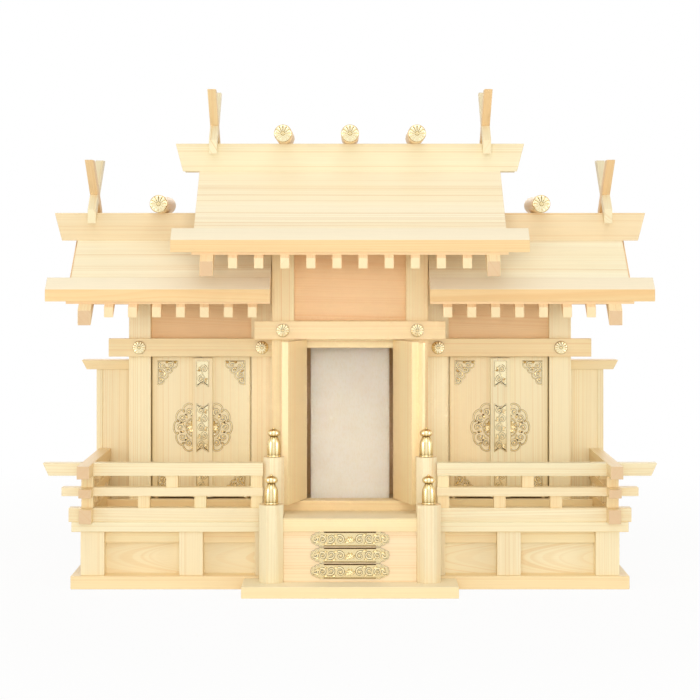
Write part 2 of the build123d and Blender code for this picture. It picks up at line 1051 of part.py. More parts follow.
with BuildPart() as back_leaning_horns:
    for roof in (main_roof, side_roof):
        horn(roof, 1, -1, back_horn_top)
    mirror(about=Plane.YZ)
save(back_leaning_horns.part, "back_leaning_horns")

with BuildPart() as front_leaning_horns:
    for roof in (main_roof, side_roof):
        horn(roof, -1, 1, front_horn_top)
    mirror(about=Plane.YZ)
save(front_leaning_horns.part, "front_leaning_horns")

# Talisman leaning back under the roof
with BuildPart() as talisman:
    shift = talisman_height * tan(radians(talisman_lean))
    head = deck_top + talisman_height
    gable_prism(
        -talisman_width / 2,
        talisman_width / 2,
        [
            (talisman_foot_y, deck_top),
            (talisman_foot_y + talisman_thickness, deck_top),
            (talisman_foot_y + talisman_thickness + shift, head),
            (talisman_foot_y + shift, head),
        ],
    )
save(talisman.part, "talisman")


# Doors
def hinge_plane(bay, side, open_angle):
    """Plane at a leaf's pivot, with its X axis towards the free edge."""
    turn = radians(side * open_angle)
    closed = -side
    return Plane(
        origin=(bay.pivot_x(side), bay.pivot_y(), bay.sill_top() + bay.foot_gap),
        x_dir=(closed * cos(turn), closed * sin(turn), 0),
        z_dir=(0, 0, 1),
    )


def leaf_height(bay):
    """Height of a leaf between its threshold and its lintel."""
    return bay.lintel_z - leaf_head_gap - bay.sill_top() - bay.foot_gap


def leaf_width(bay):
    """Distance from the pivot to the leaf's free edge."""
    return bay.half_opening - bay.hinge_inset - leaf_meeting_gap


def door_leaf(bay, side, open_angle):
    """Add a door leaf with a chamfered hinge edge and a pivot pin at each end."""
    plane = hinge_plane(bay, side, open_angle)
    face = leaf_thickness / 2
    width = leaf_width(bay)
    height = leaf_height(bay)
    with BuildSketch(plane) as outline:
        with BuildLine():
            Polyline(
                (width, -face),
                (width, face),
                (leaf_chamfer - leaf_hinge_edge, face),
                (-leaf_hinge_edge, face - leaf_chamfer),
                (-leaf_hinge_edge, leaf_chamfer - face),
                (leaf_chamfer - leaf_hinge_edge, -face),
                close=True,
            )
        make_face()
    extrude(outline.sketch, amount=height)
    foot = bay.foot_gap + pin_length
    head = leaf_head_gap + pin_length
    with BuildSketch(plane.offset(-foot)) as pin_outline:
        Circle(pin_radius)
    extrude(pin_outline.sketch, amount=foot + height + head)


def meeting_strip(bay, open_angle):
    """Add the cover strip that the right leaf carries over the meeting line."""
    plane = hinge_plane(bay, 1, open_angle)
    line = leaf_width(bay) + leaf_meeting_gap
    near = line - strip_offset - strip_width / 2
    far = line - strip_offset + strip_width / 2
    face = leaf_thickness / 2
    with BuildSketch(plane) as outline:
        with BuildLine():
            Polyline(
                (near, face),
                (line - leaf_meeting_gap, face),
                (line - leaf_meeting_gap, face + strip_clearance),
                (far, face + strip_clearance),
                (far, face + strip_thickness),
                (near, face + strip_thickness),
                close=True,
            )
        make_face()
    extrude(outline.sketch, amount=leaf_height(bay) - strip_head_gap)


doors = (
    ("middle", middle_bay, middle_doors_open),
    ("left", left_bay, 0.0),
    ("right", right_bay, 0.0),
)
for bay_name, bay, open_angle in doors:
    for side_name, side in (("left", -1), ("right", 1)):
        with BuildPart() as leaf:
            door_leaf(bay, side, open_angle)
        save(leaf.part, f"{bay_name}_bay_{side_name}_leaf")
    with BuildPart() as strip:
        meeting_strip(bay, open_angle)
    save(strip.part, f"{bay_name}_bay_meeting_strip")
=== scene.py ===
"""Household shrine of three bays in plain cypress, with gilt fittings and a paper talisman."""

import json
import logging
import math
import random
from collections.abc import Callable, Sequence
from dataclasses import dataclass
from enum import Enum

import bmesh
import bpy
import numpy as np
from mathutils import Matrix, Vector


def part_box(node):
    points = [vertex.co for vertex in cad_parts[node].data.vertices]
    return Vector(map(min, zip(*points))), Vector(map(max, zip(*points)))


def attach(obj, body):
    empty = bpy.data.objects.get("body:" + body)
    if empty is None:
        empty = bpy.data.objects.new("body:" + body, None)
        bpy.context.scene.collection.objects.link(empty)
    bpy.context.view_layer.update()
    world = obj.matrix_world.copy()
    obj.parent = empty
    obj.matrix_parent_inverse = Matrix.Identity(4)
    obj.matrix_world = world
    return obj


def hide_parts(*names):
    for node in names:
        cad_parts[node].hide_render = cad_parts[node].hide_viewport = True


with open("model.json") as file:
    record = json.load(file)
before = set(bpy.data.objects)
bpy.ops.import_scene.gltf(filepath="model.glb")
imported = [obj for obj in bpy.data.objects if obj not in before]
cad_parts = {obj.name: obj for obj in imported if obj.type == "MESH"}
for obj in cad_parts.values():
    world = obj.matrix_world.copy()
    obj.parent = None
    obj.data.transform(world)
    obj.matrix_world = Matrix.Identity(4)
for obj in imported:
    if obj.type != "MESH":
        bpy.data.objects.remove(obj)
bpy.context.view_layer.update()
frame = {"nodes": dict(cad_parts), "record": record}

log = logging.getLogger("shrine")

MM = 0.001
WELD = 1e-6  # metres; vertices nearer than this are one
FLAT_ANGLE = math.radians(0.5)  # faces that bend less are one face
CORNER_ANGLE = math.radians(25)  # a board's sharper edges are softened
SHARP_ANGLE = math.radians(24)  # sharper edges break the shading
OUTER_BAYS = 0.05  # metres; boards centred farther from X = 0 belong to the side bays
Colour = tuple[float, float, float, float]
Point = tuple[float, float]
BODY_OF_NODE: dict[str, str] = {
    node: body
    for body, nodes in frame["record"]["behaviour"]["bodies"].items()
    for node in nodes
}


def paint(red: int, green: int, blue: int) -> Colour:
    """Linear colour of a paint mixed by its display values.

    Args:
        red: Red, 0 to 255.
        green: Green, 0 to 255.
        blue: Blue, 0 to 255.

    Returns:
        The linear colour with full alpha.
    """
    parts = [part / 255 for part in (red, green, blue)]
    linear = [p / 12.92 if p <= 0.04045 else ((p + 0.055) / 1.055) ** 2.4 for p in parts]
    return (linear[0], linear[1], linear[2], 1.0)


class Recipe:
    """A material under construction, with its shader and short calls for its nodes."""

    def __init__(self, name: str) -> None:
        """Start an empty material.

        Args:
            name: Name of the material.
        """
        self.material = bpy.data.materials.new(name)
        self.material.use_nodes = True
        self.tree = self.material.node_tree
        self.shader = self.tree.nodes["Principled BSDF"]

    def feed(self, socket: bpy.types.NodeSocket, value: object) -> None:
        """Give an input a constant, or join it to another node's output.

        Args:
            socket: The input.
            value: A constant or an output socket.
        """
        if isinstance(value, bpy.types.NodeSocket):
            self.tree.links.new(value, socket)
        else:
            socket.default_value = value

    def node(self, kind: str, inputs: dict | None = None, **settings: object) -> bpy.types.Node:
        """Add a node.

        Args:
            kind: The node's type.
            inputs: Its inputs by name or number, each a constant or a socket.
            **settings: Its properties.

        Returns:
            The node.
        """
        made = self.tree.nodes.new(kind)
        for key, value in settings.items():
            setattr(made, key, value)
        for key, value in (inputs or {}).items():
            self.feed(made.inputs[key], value)
        return made

    def math(self, operation: str, first: object, second: object = 0.0) -> bpy.types.NodeSocket:
        """Combine two numbers or sockets by a named operation."""
        return self.node("ShaderNodeMath", {0: first, 1: second}, operation=operation).outputs[0]

    def spread(self, value: object, share: float, base: float) -> bpy.types.NodeSocket:
        """Multiply a number's socket by a share and add a base."""
        inputs = {0: value, 1: share, 2: base}
        return self.node("ShaderNodeMath", inputs, operation="MULTIPLY_ADD").outputs[0]

    def attribute(self, name: str, output: str = "Fac") -> bpy.types.NodeSocket:
        """Read a value that is written on the mesh."""
        return self.node("ShaderNodeAttribute", attribute_name=name).outputs[output]

    def stretch(self, place: object, scale: tuple[float, float, float]) -> bpy.types.NodeSocket:
        """Scale a position's socket by its own factor along each axis."""
        inputs = {0: place, 1: scale}
        return self.node("ShaderNodeVectorMath", inputs, operation="MULTIPLY").outputs[0]

    def noise(self, place: object, scale: float, detail: float = 2.0) -> bpy.types.NodeSocket:
        """Read a soft noise, about 0 to 1, at a position's socket."""
        inputs = {"Vector": place, "Scale": scale, "Detail": detail, "Roughness": 0.5}
        return self.node("ShaderNodeTexNoise", inputs).outputs["Fac"]

    def ramp(self, factor: object, stops: Sequence[tuple[float, float]]) -> bpy.types.NodeSocket:
        """Turn a number into another through a list of stops.

        Args:
            factor: Socket with the number, 0 to 1.
            stops: Pairs of place and value in rising order.

        Returns:
            The value's socket.
        """
        made = self.node("ShaderNodeValToRGB", {0: factor})
        band = made.color_ramp
        while len(band.elements) < len(stops):
            band.elements.new(0.5)
        for element, (place, value) in zip(band.elements, stops, strict=True):
            element.position = place
            element.color = (value, value, value, 1.0)
        return made.outputs["Color"]

    def blend(
        self, factor: object, first: object, second: object, mode: str = "MIX"
    ) -> bpy.types.NodeSocket:
        """Mix two colours.

        Args:
            factor: Share of the second colour.
            first: First colour or socket.
            second: Second colour or socket.
            mode: Name of the way of mixing.

        Returns:
            The mixed colour's socket.
        """
        made = self.node("ShaderNodeMix", data_type="RGBA", blend_type=mode)
        self.feed(made.inputs[0], factor)
        self.feed(made.inputs[6], first)
        self.feed(made.inputs[7], second)
        return made.outputs[2]

    def bump(self, height: object, strength: float, distance: float) -> None:
        """Raise the surface's shading by a height.

        Args:
            height: Socket with the height, 0 to 1.
            strength: Share of the effect.
            distance: Depth in metres.
        """
        inputs = {"Height": height, "Strength": strength, "Distance": distance}
        made = self.node("ShaderNodeBump", inputs)
        self.feed(self.shader.inputs["Normal"], made.outputs["Normal"])


@dataclass(frozen=True)
class Cypress:
    """Planed, unfinished cypress with growth lines round each board's own heart."""

    name: str
    early: Colour = paint(246, 232, 188)
    late: Colour = paint(230, 190, 130)
    flush: Colour = paint(246, 216, 166)
    # Warm tint, used both for a board's own random tone and for painted warm shade where the board
    # sits in shade.
    warm_tone_and_shade_colour: Colour = paint(240, 194, 140)
    # Paler colour painted on faces that look up, standing for the light from above.
    painted_top_light_colour: Colour = paint(250, 244, 222)
    end_grain: Colour = paint(226, 192, 148)
    ring: float = 1.6
    wander: float = 3.0
    contrast: float = 0.7
    flush_share: float = 0.5
    rings_per_decade: float = 0.21
    decade_drift: float = 5.0
    weakest_ring: float = 0.2
    fibre_light: float = 0.12
    end_share: float = 0.65
    smoothest: float = 0.34
    gloss: float = 0.5
    grain_bump: float = 0.12
    grain_depth: float = 0.2 * MM

    def material(self) -> bpy.types.Material:
        """Build the wood's material, or return it if it is there.

        Returns:
            The material.
        """
        if self.name in bpy.data.materials:
            return bpy.data.materials[self.name]
        wood = Recipe(self.name)
        place = wood.attribute("grain", "Vector")
        across = wood.stretch(place, (1.0, 1.0, 0.0))
        heart = wood.node("ShaderNodeVectorMath", {0: across}, operation="LENGTH")
        drift = wood.noise(wood.stretch(place, (0.02, 0.02, 0.0035)), 1.0)
        drift = wood.math("MULTIPLY", wood.math("SUBTRACT", drift, 0.5), self.wander)
        years = wood.math("ADD", heart.outputs["Value"], drift)
        years = wood.math("DIVIDE", years, self.ring)
        decade = wood.node(
            "ShaderNodeTexNoise",
            {"W": wood.math("MULTIPLY", years, self.rings_per_decade)},
            noise_dimensions="1D",
        ).outputs["Fac"]
        years = wood.math("ADD", years, wood.math("MULTIPLY", decade, self.decade_drift))
        season = wood.math("FRACT", years)
        year = wood.node(
            "ShaderNodeTexWhiteNoise", {"W": wood.math("FLOOR", years)}, noise_dimensions="1D"
        ).outputs["Value"]
        line = wood.ramp(season, ((0.0, 0.0), (0.4, 0.12), (0.8, 1.0), (0.92, 0.85), (1.0, 0.0)))
        vigour = wood.spread(year, 1.0 - self.weakest_ring, self.weakest_ring)
        dense = wood.ramp(decade, ((0.35, 0.6), (0.62, 1.15)))
        vigour = wood.math("MULTIPLY", vigour, dense)
        late = wood.math("MULTIPLY", wood.math("MULTIPLY", line, vigour), self.contrast)
        fibre = wood.noise(wood.stretch(place, (2.2, 2.2, 0.035)), 1.0, 3.0)
        cloud = wood.noise(wood.stretch(place, (0.03, 0.03, 0.004)), 1.0)
        cloud = wood.ramp(cloud, ((0.38, 0.0), (0.68, 1.0)))
        colour = wood.blend(late, self.early, self.late)
        colour = wood.blend(wood.math("MULTIPLY", cloud, self.flush_share), colour, self.flush)
        # Warm tint: partly the board's own random tone, partly painted warm shade on boards that
        # sit in shade.
        warm_tone_and_painted_shade = wood.attribute("warm_tone_and_painted_shade")
        colour = wood.blend(warm_tone_and_painted_shade, colour, self.warm_tone_and_shade_colour)
        # Painted top light: faces that look up are blended towards a pale colour, standing for the
        # light from above.
        painted_top_light = wood.attribute("painted_top_light")
        colour = wood.blend(painted_top_light, colour, self.painted_top_light_colour)
        tone = wood.attribute("tone")
        light = wood.math("MULTIPLY", wood.math("SUBTRACT", fibre, 0.5), self.fibre_light)
        light = wood.math("ADD", wood.math("ADD", light, tone), 1.0)
        colour = wood.node("ShaderNodeHueSaturation", {"Value": light, "Color": colour}).outputs[0]
        end = wood.attribute("end")
        colour = wood.blend(wood.math("MULTIPLY", end, self.end_share), colour, self.end_grain)
        wood.feed(wood.shader.inputs["Base Color"], colour)
        wood.feed(wood.shader.inputs["Roughness"], wood.spread(fibre, 0.2, self.smoothest))
        wood.shader.inputs["Specular IOR Level"].default_value = self.gloss
        ridges = wood.math("ADD", fibre, wood.math("MULTIPLY", line, 0.5))
        wood.bump(ridges, self.grain_bump, self.grain_depth)
        return wood.material


@dataclass(frozen=True)
class Gilding:
    """Gold plate, with painted highlights on raised work and painted shade, brown, in its hollows.
    """

    name: str = "gold_plate"
    # The relief attribute sets painted light: low relief is painted shade in hollows and dark
    # lines, high relief a painted highlight on crests.
    bright: Colour = paint(255, 242, 200)
    mellow: Colour = paint(234, 206, 142)
    hollow: Colour = paint(92, 62, 26)
    roughness: float = 0.24
    wear: float = 0.16

    def material(self) -> bpy.types.Material:
        """Build the gold's material, or return it if it is there.

        Returns:
            The material.
        """
        if self.name in bpy.data.materials:
            return bpy.data.materials[self.name]
        gold = Recipe(self.name)
        relief = gold.attribute("relief")
        place = gold.node("ShaderNodeTexCoord").outputs["Object"]
        mottle = gold.noise(place, 900.0, 2.0)
        # Painted shade in the hollows, painted highlights on the crests.
        low = gold.ramp(relief, ((0.0, 0.0), (0.35, 1.0)))
        high = gold.ramp(relief, ((0.3, 0.0), (0.9, 1.0)))
        colour = gold.blend(low, self.hollow, self.mellow)
        colour = gold.blend(high, colour, self.bright)
        gold.feed(gold.shader.inputs["Base Color"], colour)
        gold.shader.inputs["Metallic"].default_value = 1.0
        rough = gold.spread(mottle, self.wear, self.roughness - self.wear / 2)
        gold.feed(gold.shader.inputs["Roughness"], rough)
        gold.bump(mottle, 0.05, 0.1 * MM)
        return gold.material


@dataclass(frozen=True)
class MulberryPaper:
    """Uncoated handmade paper with faint fibres and soft folds."""

    name: str = "talisman_paper"
    sheet: Colour = paint(255, 251, 238)
    fibre: Colour = paint(246, 234, 206)
    roughness: float = 0.75
    gloss: float = 0.15

    def material(self) -> bpy.types.Material:
        """Build the paper's material.

        Returns:
            The material.
        """
        paper = Recipe(self.name)
        place = paper.node("ShaderNodeTexCoord").outputs["Object"]
        strands = paper.noise(paper.stretch(place, (1.0, 1.0, 0.35)), 900.0, 4.0)
        clouds = paper.noise(place, 45.0, 2.0)
        share = paper.math("MULTIPLY", paper.ramp(strands, ((0.45, 0.0), (0.8, 1.0))), 0.5)
        colour = paper.blend(share, self.sheet, self.fibre)
        share = paper.math("MULTIPLY", paper.ramp(clouds, ((0.4, 0.0), (0.75, 1.0))), 0.25)
        colour = paper.blend(share, colour, self.fibre)
        paper.feed(paper.shader.inputs["Base Color"], colour)
        paper.feed(paper.shader.inputs["Roughness"], paper.spread(strands, 0.15, self.roughness))
        paper.shader.inputs["Specular IOR Level"].default_value = self.gloss
        paper.bump(strands, 0.15, 0.2 * MM)
        return paper.material


STRAIGHT = Cypress("cypress_straight_grain")
PALE = Cypress(
    "cypress_sapwood",
    early=paint(244, 235, 201),
    late=paint(226, 194, 138),
    flush=paint(244, 227, 185),
    contrast=0.8,
)
HEART = Cypress(
    "cypress_heartwood",
    early=paint(243, 218, 166),
    late=paint(222, 170, 106),
    flush=paint(242, 199, 143),
)
ROOFING = Cypress(
    "cypress_roof_boards",
    early=paint(251, 245, 218),
    late=paint(214, 172, 102),
    flush=paint(248, 231, 184),
    ring=2.6,
    wander=5.0,
    contrast=0.95,
)
FIGURED = Cypress(
    "cypress_figured",
    early=paint(243, 220, 168),
    late=paint(228, 178, 116),
    flush=paint(242, 200, 144),
    ring=2.6,
    wander=8.0,
    contrast=0.55,
)
# A darker, warmer copy of the cypress, painted shade for the walls, soffits and rafters that sit
# under the eaves.
PAINTED_EAVE_SHADE = Cypress(
    "cypress_under_the_eaves",
    early=paint(247, 218, 172),
    late=paint(226, 172, 116),
    flush=paint(246, 204, 154),
    end_grain=paint(244, 230, 188),
)
ROSY_ENDS = Cypress("cypress_rosy_end_grain", end_grain=paint(212, 176, 142))
GOLD = Gilding()
PAPER = MulberryPaper()


class Cut(Enum):
    """How a board was sawn from its log."""

    EDGE = "edge grain, fine straight lines on the wide face"
    RIFT = "sawn aslant, fine straight lines on every long face"
    FLAT = "flat grain, arched figure on the wide face"


# Where a board lay in its log, in millimetres, and how far the boards of one node differ.
NEAR_HEART = 8.0
HEART_DISTANCE: dict[Cut, Point] = {
    Cut.EDGE: (90.0, 160.0),
    Cut.RIFT: (60.0, 110.0),
    Cut.FLAT: (26.0, 48.0),
}
STRAIGHT_TAPER: dict[Cut, float] = {Cut.EDGE: 0.006, Cut.RIFT: 0.004}
ARCHED_TAPER: Point = (0.02, 0.045)
LOG_LENGTH = 4000.0
SHADE_SPREAD = 0.018
WARMTH_SPREAD: Point = (-0.08, 0.1)
END_FACING = 0.75


class Run(Enum):
    """Direction of a board's fibres."""

    LONGEST = "along its longest side"
    UPRIGHT = "along Z"
    SIDEWAYS = "along X"


def finish_piece(
    name: str,
    mesh: bmesh.types.BMesh,
    material: bpy.types.Material,
    body: str,
    replaces: Sequence[str] = (),
) -> bpy.types.Object:
    """Turn a mesh under construction into a piece that rides on its body.

    Args:
        name: Name of the piece.
        mesh: The mesh, in metres.
        material: Its material.
        body: The CAD body that it rides on.
        replaces: CAD nodes that it stands for.

    Returns:
        The piece.
    """
    data = bpy.data.meshes.new(name)
    mesh.to_mesh(data)
    mesh.free()
    data.shade_smooth()
    data.set_sharp_from_angle(angle=SHARP_ANGLE)
    data.materials.append(material)
    piece = bpy.data.objects.new(name, data)
    bpy.context.scene.collection.objects.link(piece)
    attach(piece, body)
    if replaces:
        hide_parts(*replaces)
    return piece


def find_islands(mesh: bmesh.types.BMesh) -> list[list[bmesh.types.BMVert]]:
    """Find the separate solids of a mesh.

    Args:
        mesh: A node's mesh.

    Returns:
        The vertices of each solid.
    """
    mesh.verts.ensure_lookup_table()
    mesh.verts.index_update()
    seen: set[int] = set()
    islands = []
    for first in mesh.verts:
        if first.index in seen:
            continue
        seen.add(first.index)
        island, rest = [], [first]
        while rest:
            vert = rest.pop()
            island.append(vert)
            for edge in vert.link_edges:
                other = edge.other_vert(vert)
                if other.index not in seen:
                    seen.add(other.index)
                    rest.append(other)
        islands.append(island)
    return islands


def join_rings(mesh: bmesh.types.BMesh, rings: Sequence[Sequence[bmesh.types.BMVert]]) -> None:
    """Make the walls between closed rings of vertices that follow each other.

    Args:
        mesh: The mesh that holds them.
        rings: The rings, all with the same number of vertices.
    """
    for one, two in zip(rings, rings[1:]):
        for i in range(len(one)):
            j = (i + 1) % len(one)
            mesh.faces.new((one[i], one[j], two[j], two[i]))


@dataclass(frozen=True)
class Timber:
    """The boards of one CAD node, with softened edges and each its own growth lines."""

    node: str
    cut: Cut = Cut.RIFT
    run: Run = Run.LONGEST
    finish: Cypress = STRAIGHT
    edge: float = 0.35
    tone: float = 0.0
    # Warm tint, partly the board's own tone and partly painted warm shade under eaves and in
    # recesses; the side bays get a share of their own.
    warm_tone_and_painted_shade: float = 0.08
    side_warm_tone_and_painted_shade: float = 0.0
    # Share of painted top light, a paler colour on faces that look up.
    painted_top_light: float = 0.0

    def build(self) -> bpy.types.Object:
        """Make the piece that stands for the node.

        Returns:
            The piece.
        """
        mesh = bmesh.new()
        mesh.from_mesh(frame["nodes"][self.node].data)
        bmesh.ops.remove_doubles(mesh, verts=mesh.verts, dist=WELD)
        bmesh.ops.dissolve_limit(
            mesh, angle_limit=FLAT_ANGLE, verts=mesh.verts, edges=mesh.edges
        )
        corners = [
            edge
            for edge in mesh.edges
            if len(edge.link_faces) == 2 and edge.calc_face_angle() > CORNER_ANGLE
        ]
        bmesh.ops.bevel(
            mesh,
            geom=corners,
            offset=self.edge * MM,
            segments=2,
            profile=0.5,
            affect="EDGES",
            clamp_overlap=True,
        )
        self.draw_grain(mesh)
        return finish_piece(
            f"{self.node}_planed",
            mesh,
            self.finish.material(),
            BODY_OF_NODE[self.node],
            (self.node,),
        )

    def draw_grain(self, mesh: bmesh.types.BMesh) -> None:
        """Write each board's place in its log, its tone and warm tint, its end faces, and the
        painted top light on its upper faces.

        Args:
            mesh: The node's mesh.
        """
        grain = mesh.verts.layers.float_vector.new("grain")
        tone = mesh.verts.layers.float.new("tone")
        warm_tone_and_painted_shade = mesh.verts.layers.float.new("warm_tone_and_painted_shade")
        end = mesh.faces.layers.float.new("end")
        painted_top_light = mesh.faces.layers.float.new("painted_top_light")
        for index, board in enumerate(find_islands(mesh)):
            luck = random.Random(f"{self.node} {index}")
            points = np.array([vert.co for vert in board])
            centre, axes = self._axes(points)
            heart, taper = self._place_in_log(luck)
            start = luck.uniform(0, LOG_LENGTH)
            shade = self.tone + luck.uniform(-SHADE_SPREAD, SHADE_SPREAD)
            # The warm tint mixes a random tone with the painted warm shade set for this node.
            glow = self.warm_tone_and_painted_shade + luck.uniform(*WARMTH_SPREAD)
            if abs(centre[0]) > OUTER_BAYS:
                glow += self.side_warm_tone_and_painted_shade
            faces = set()
            for vert in board:
                thick, wide, along = (axes @ (np.array(vert.co) - centre)) / MM
                place = (thick - heart[0] - taper[0] * along, wide - heart[1] - taper[1] * along)
                vert[grain] = (*place, along + start)
                vert[tone] = shade
                vert[warm_tone_and_painted_shade] = max(0.0, glow)
                faces.update(vert.link_faces)
            length = Vector(axes[2])
            for face in faces:
                face[end] = 1.0 if abs(face.normal.dot(length)) > END_FACING else 0.0
                # Faces that look up get painted top light, more the more they face upwards.
                face[painted_top_light] = self.painted_top_light * min(1.0, max(0.0, face.normal.z * 2 - 0.6))

    def _place_in_log(self, luck: random.Random) -> tuple[Point, Point]:
        """Draw where a board lay in its log.

        Args:
            luck: The board's own random draws.

        Returns:
            The heart's place across the board, by thickness and width in millimetres, and its
            drift per millimetre of length.
        """
        near = luck.uniform(-NEAR_HEART, NEAR_HEART)
        away = luck.choice((-1, 1)) * luck.uniform(*HEART_DISTANCE[self.cut])
        if self.cut is Cut.FLAT:
            return (away, near), (luck.choice((-1, 1)) * luck.uniform(*ARCHED_TAPER), 0.0)
        if self.cut is Cut.RIFT:
            near = away
            away = luck.choice((-1, 1)) * luck.uniform(*HEART_DISTANCE[self.cut])
        most = STRAIGHT_TAPER[self.cut]
        return (near, away), (0.0, luck.uniform(-most, most))

    def _axes(self, points: np.ndarray) -> tuple[np.ndarray, np.ndarray]:
        """Find a board's centre and its directions.

        Args:
            points: The board's vertices.

        Returns:
            The centre, and the directions of its thickness, width and length as rows.
        """
        centre = (points.min(axis=0) + points.max(axis=0)) / 2
        if self.run is Run.LONGEST:
            spread = points - points.mean(axis=0)
            _, vectors = np.linalg.eigh(spread.T @ spread)
            return centre, vectors.T
        along = 2 if self.run is Run.UPRIGHT else 0
        size = points.max(axis=0) - points.min(axis=0)
        others = sorted((axis for axis in range(3) if axis != along), key=lambda a: size[a])
        return centre, np.eye(3)[[*others, along]]


@dataclass(frozen=True)
class Face:
    """A flat face of the shrine, on which metalwork is laid out in millimetres."""

    origin: Vector
    across: Vector
    up: Vector
    out: Vector

    def place(self, x: float, y: float, height: float) -> Vector:
        """Turn a place across, up and off the face into a place in the frame, in metres."""
        return self.origin + (self.across * x + self.up * y + self.out * height) * MM


def front_face(x: float, y: float, z: float) -> Face:
    """Face that looks to the front, with its origin at a place in metres."""
    return Face(Vector((x, y, z)), Vector((1, 0, 0)), Vector((0, 0, 1)), Vector((0, -1, 0)))


def spiral(
    centre: Point, start: float, turn: float, outer: float, inner: float, count: int = 26
) -> list[Point]:
    """Points of a spiral from its outer end to its eye.

    Args:
        centre: Its eye.
        start: Angle of its outer end in degrees.
        turn: Angle that it winds through in degrees.
        outer: Radius of its outer end.
        inner: Radius of its eye.
        count: Number of points.

    Returns:
        The points.
    """
    points = []
    for step in range(count):
        share = step / (count - 1)
        angle = math.radians(start + turn * share)
        radius = outer + (inner - outer) * share**0.8
        points.append((centre[0] + radius * math.cos(angle), centre[1] + radius * math.sin(angle)))
    return points


def smooth_line(knots: Sequence[Point], steps: int = 6) -> list[Point]:
    """Smooth line through a few knots.

    Args:
        knots: The knots.
        steps: Points made between two knots.

    Returns:
        The points.
    """
    padded = [knots[0], *knots, knots[-1]]
    points = []
    for a, b, c, d in zip(padded, padded[1:], padded[2:], padded[3:]):
        for step in range(steps):
            t = step / steps
            point = [
                0.5
                * (
                    2 * b[k]
                    + (c[k] - a[k]) * t
                    + (2 * a[k] - 5 * b[k] + 4 * c[k] - d[k]) * t**2
                    + (3 * b[k] - a[k] - 3 * c[k] + d[k]) * t**3
                )
                for k in (0, 1)
            ]
            points.append((point[0], point[1]))
    points.append(knots[-1])
    return points


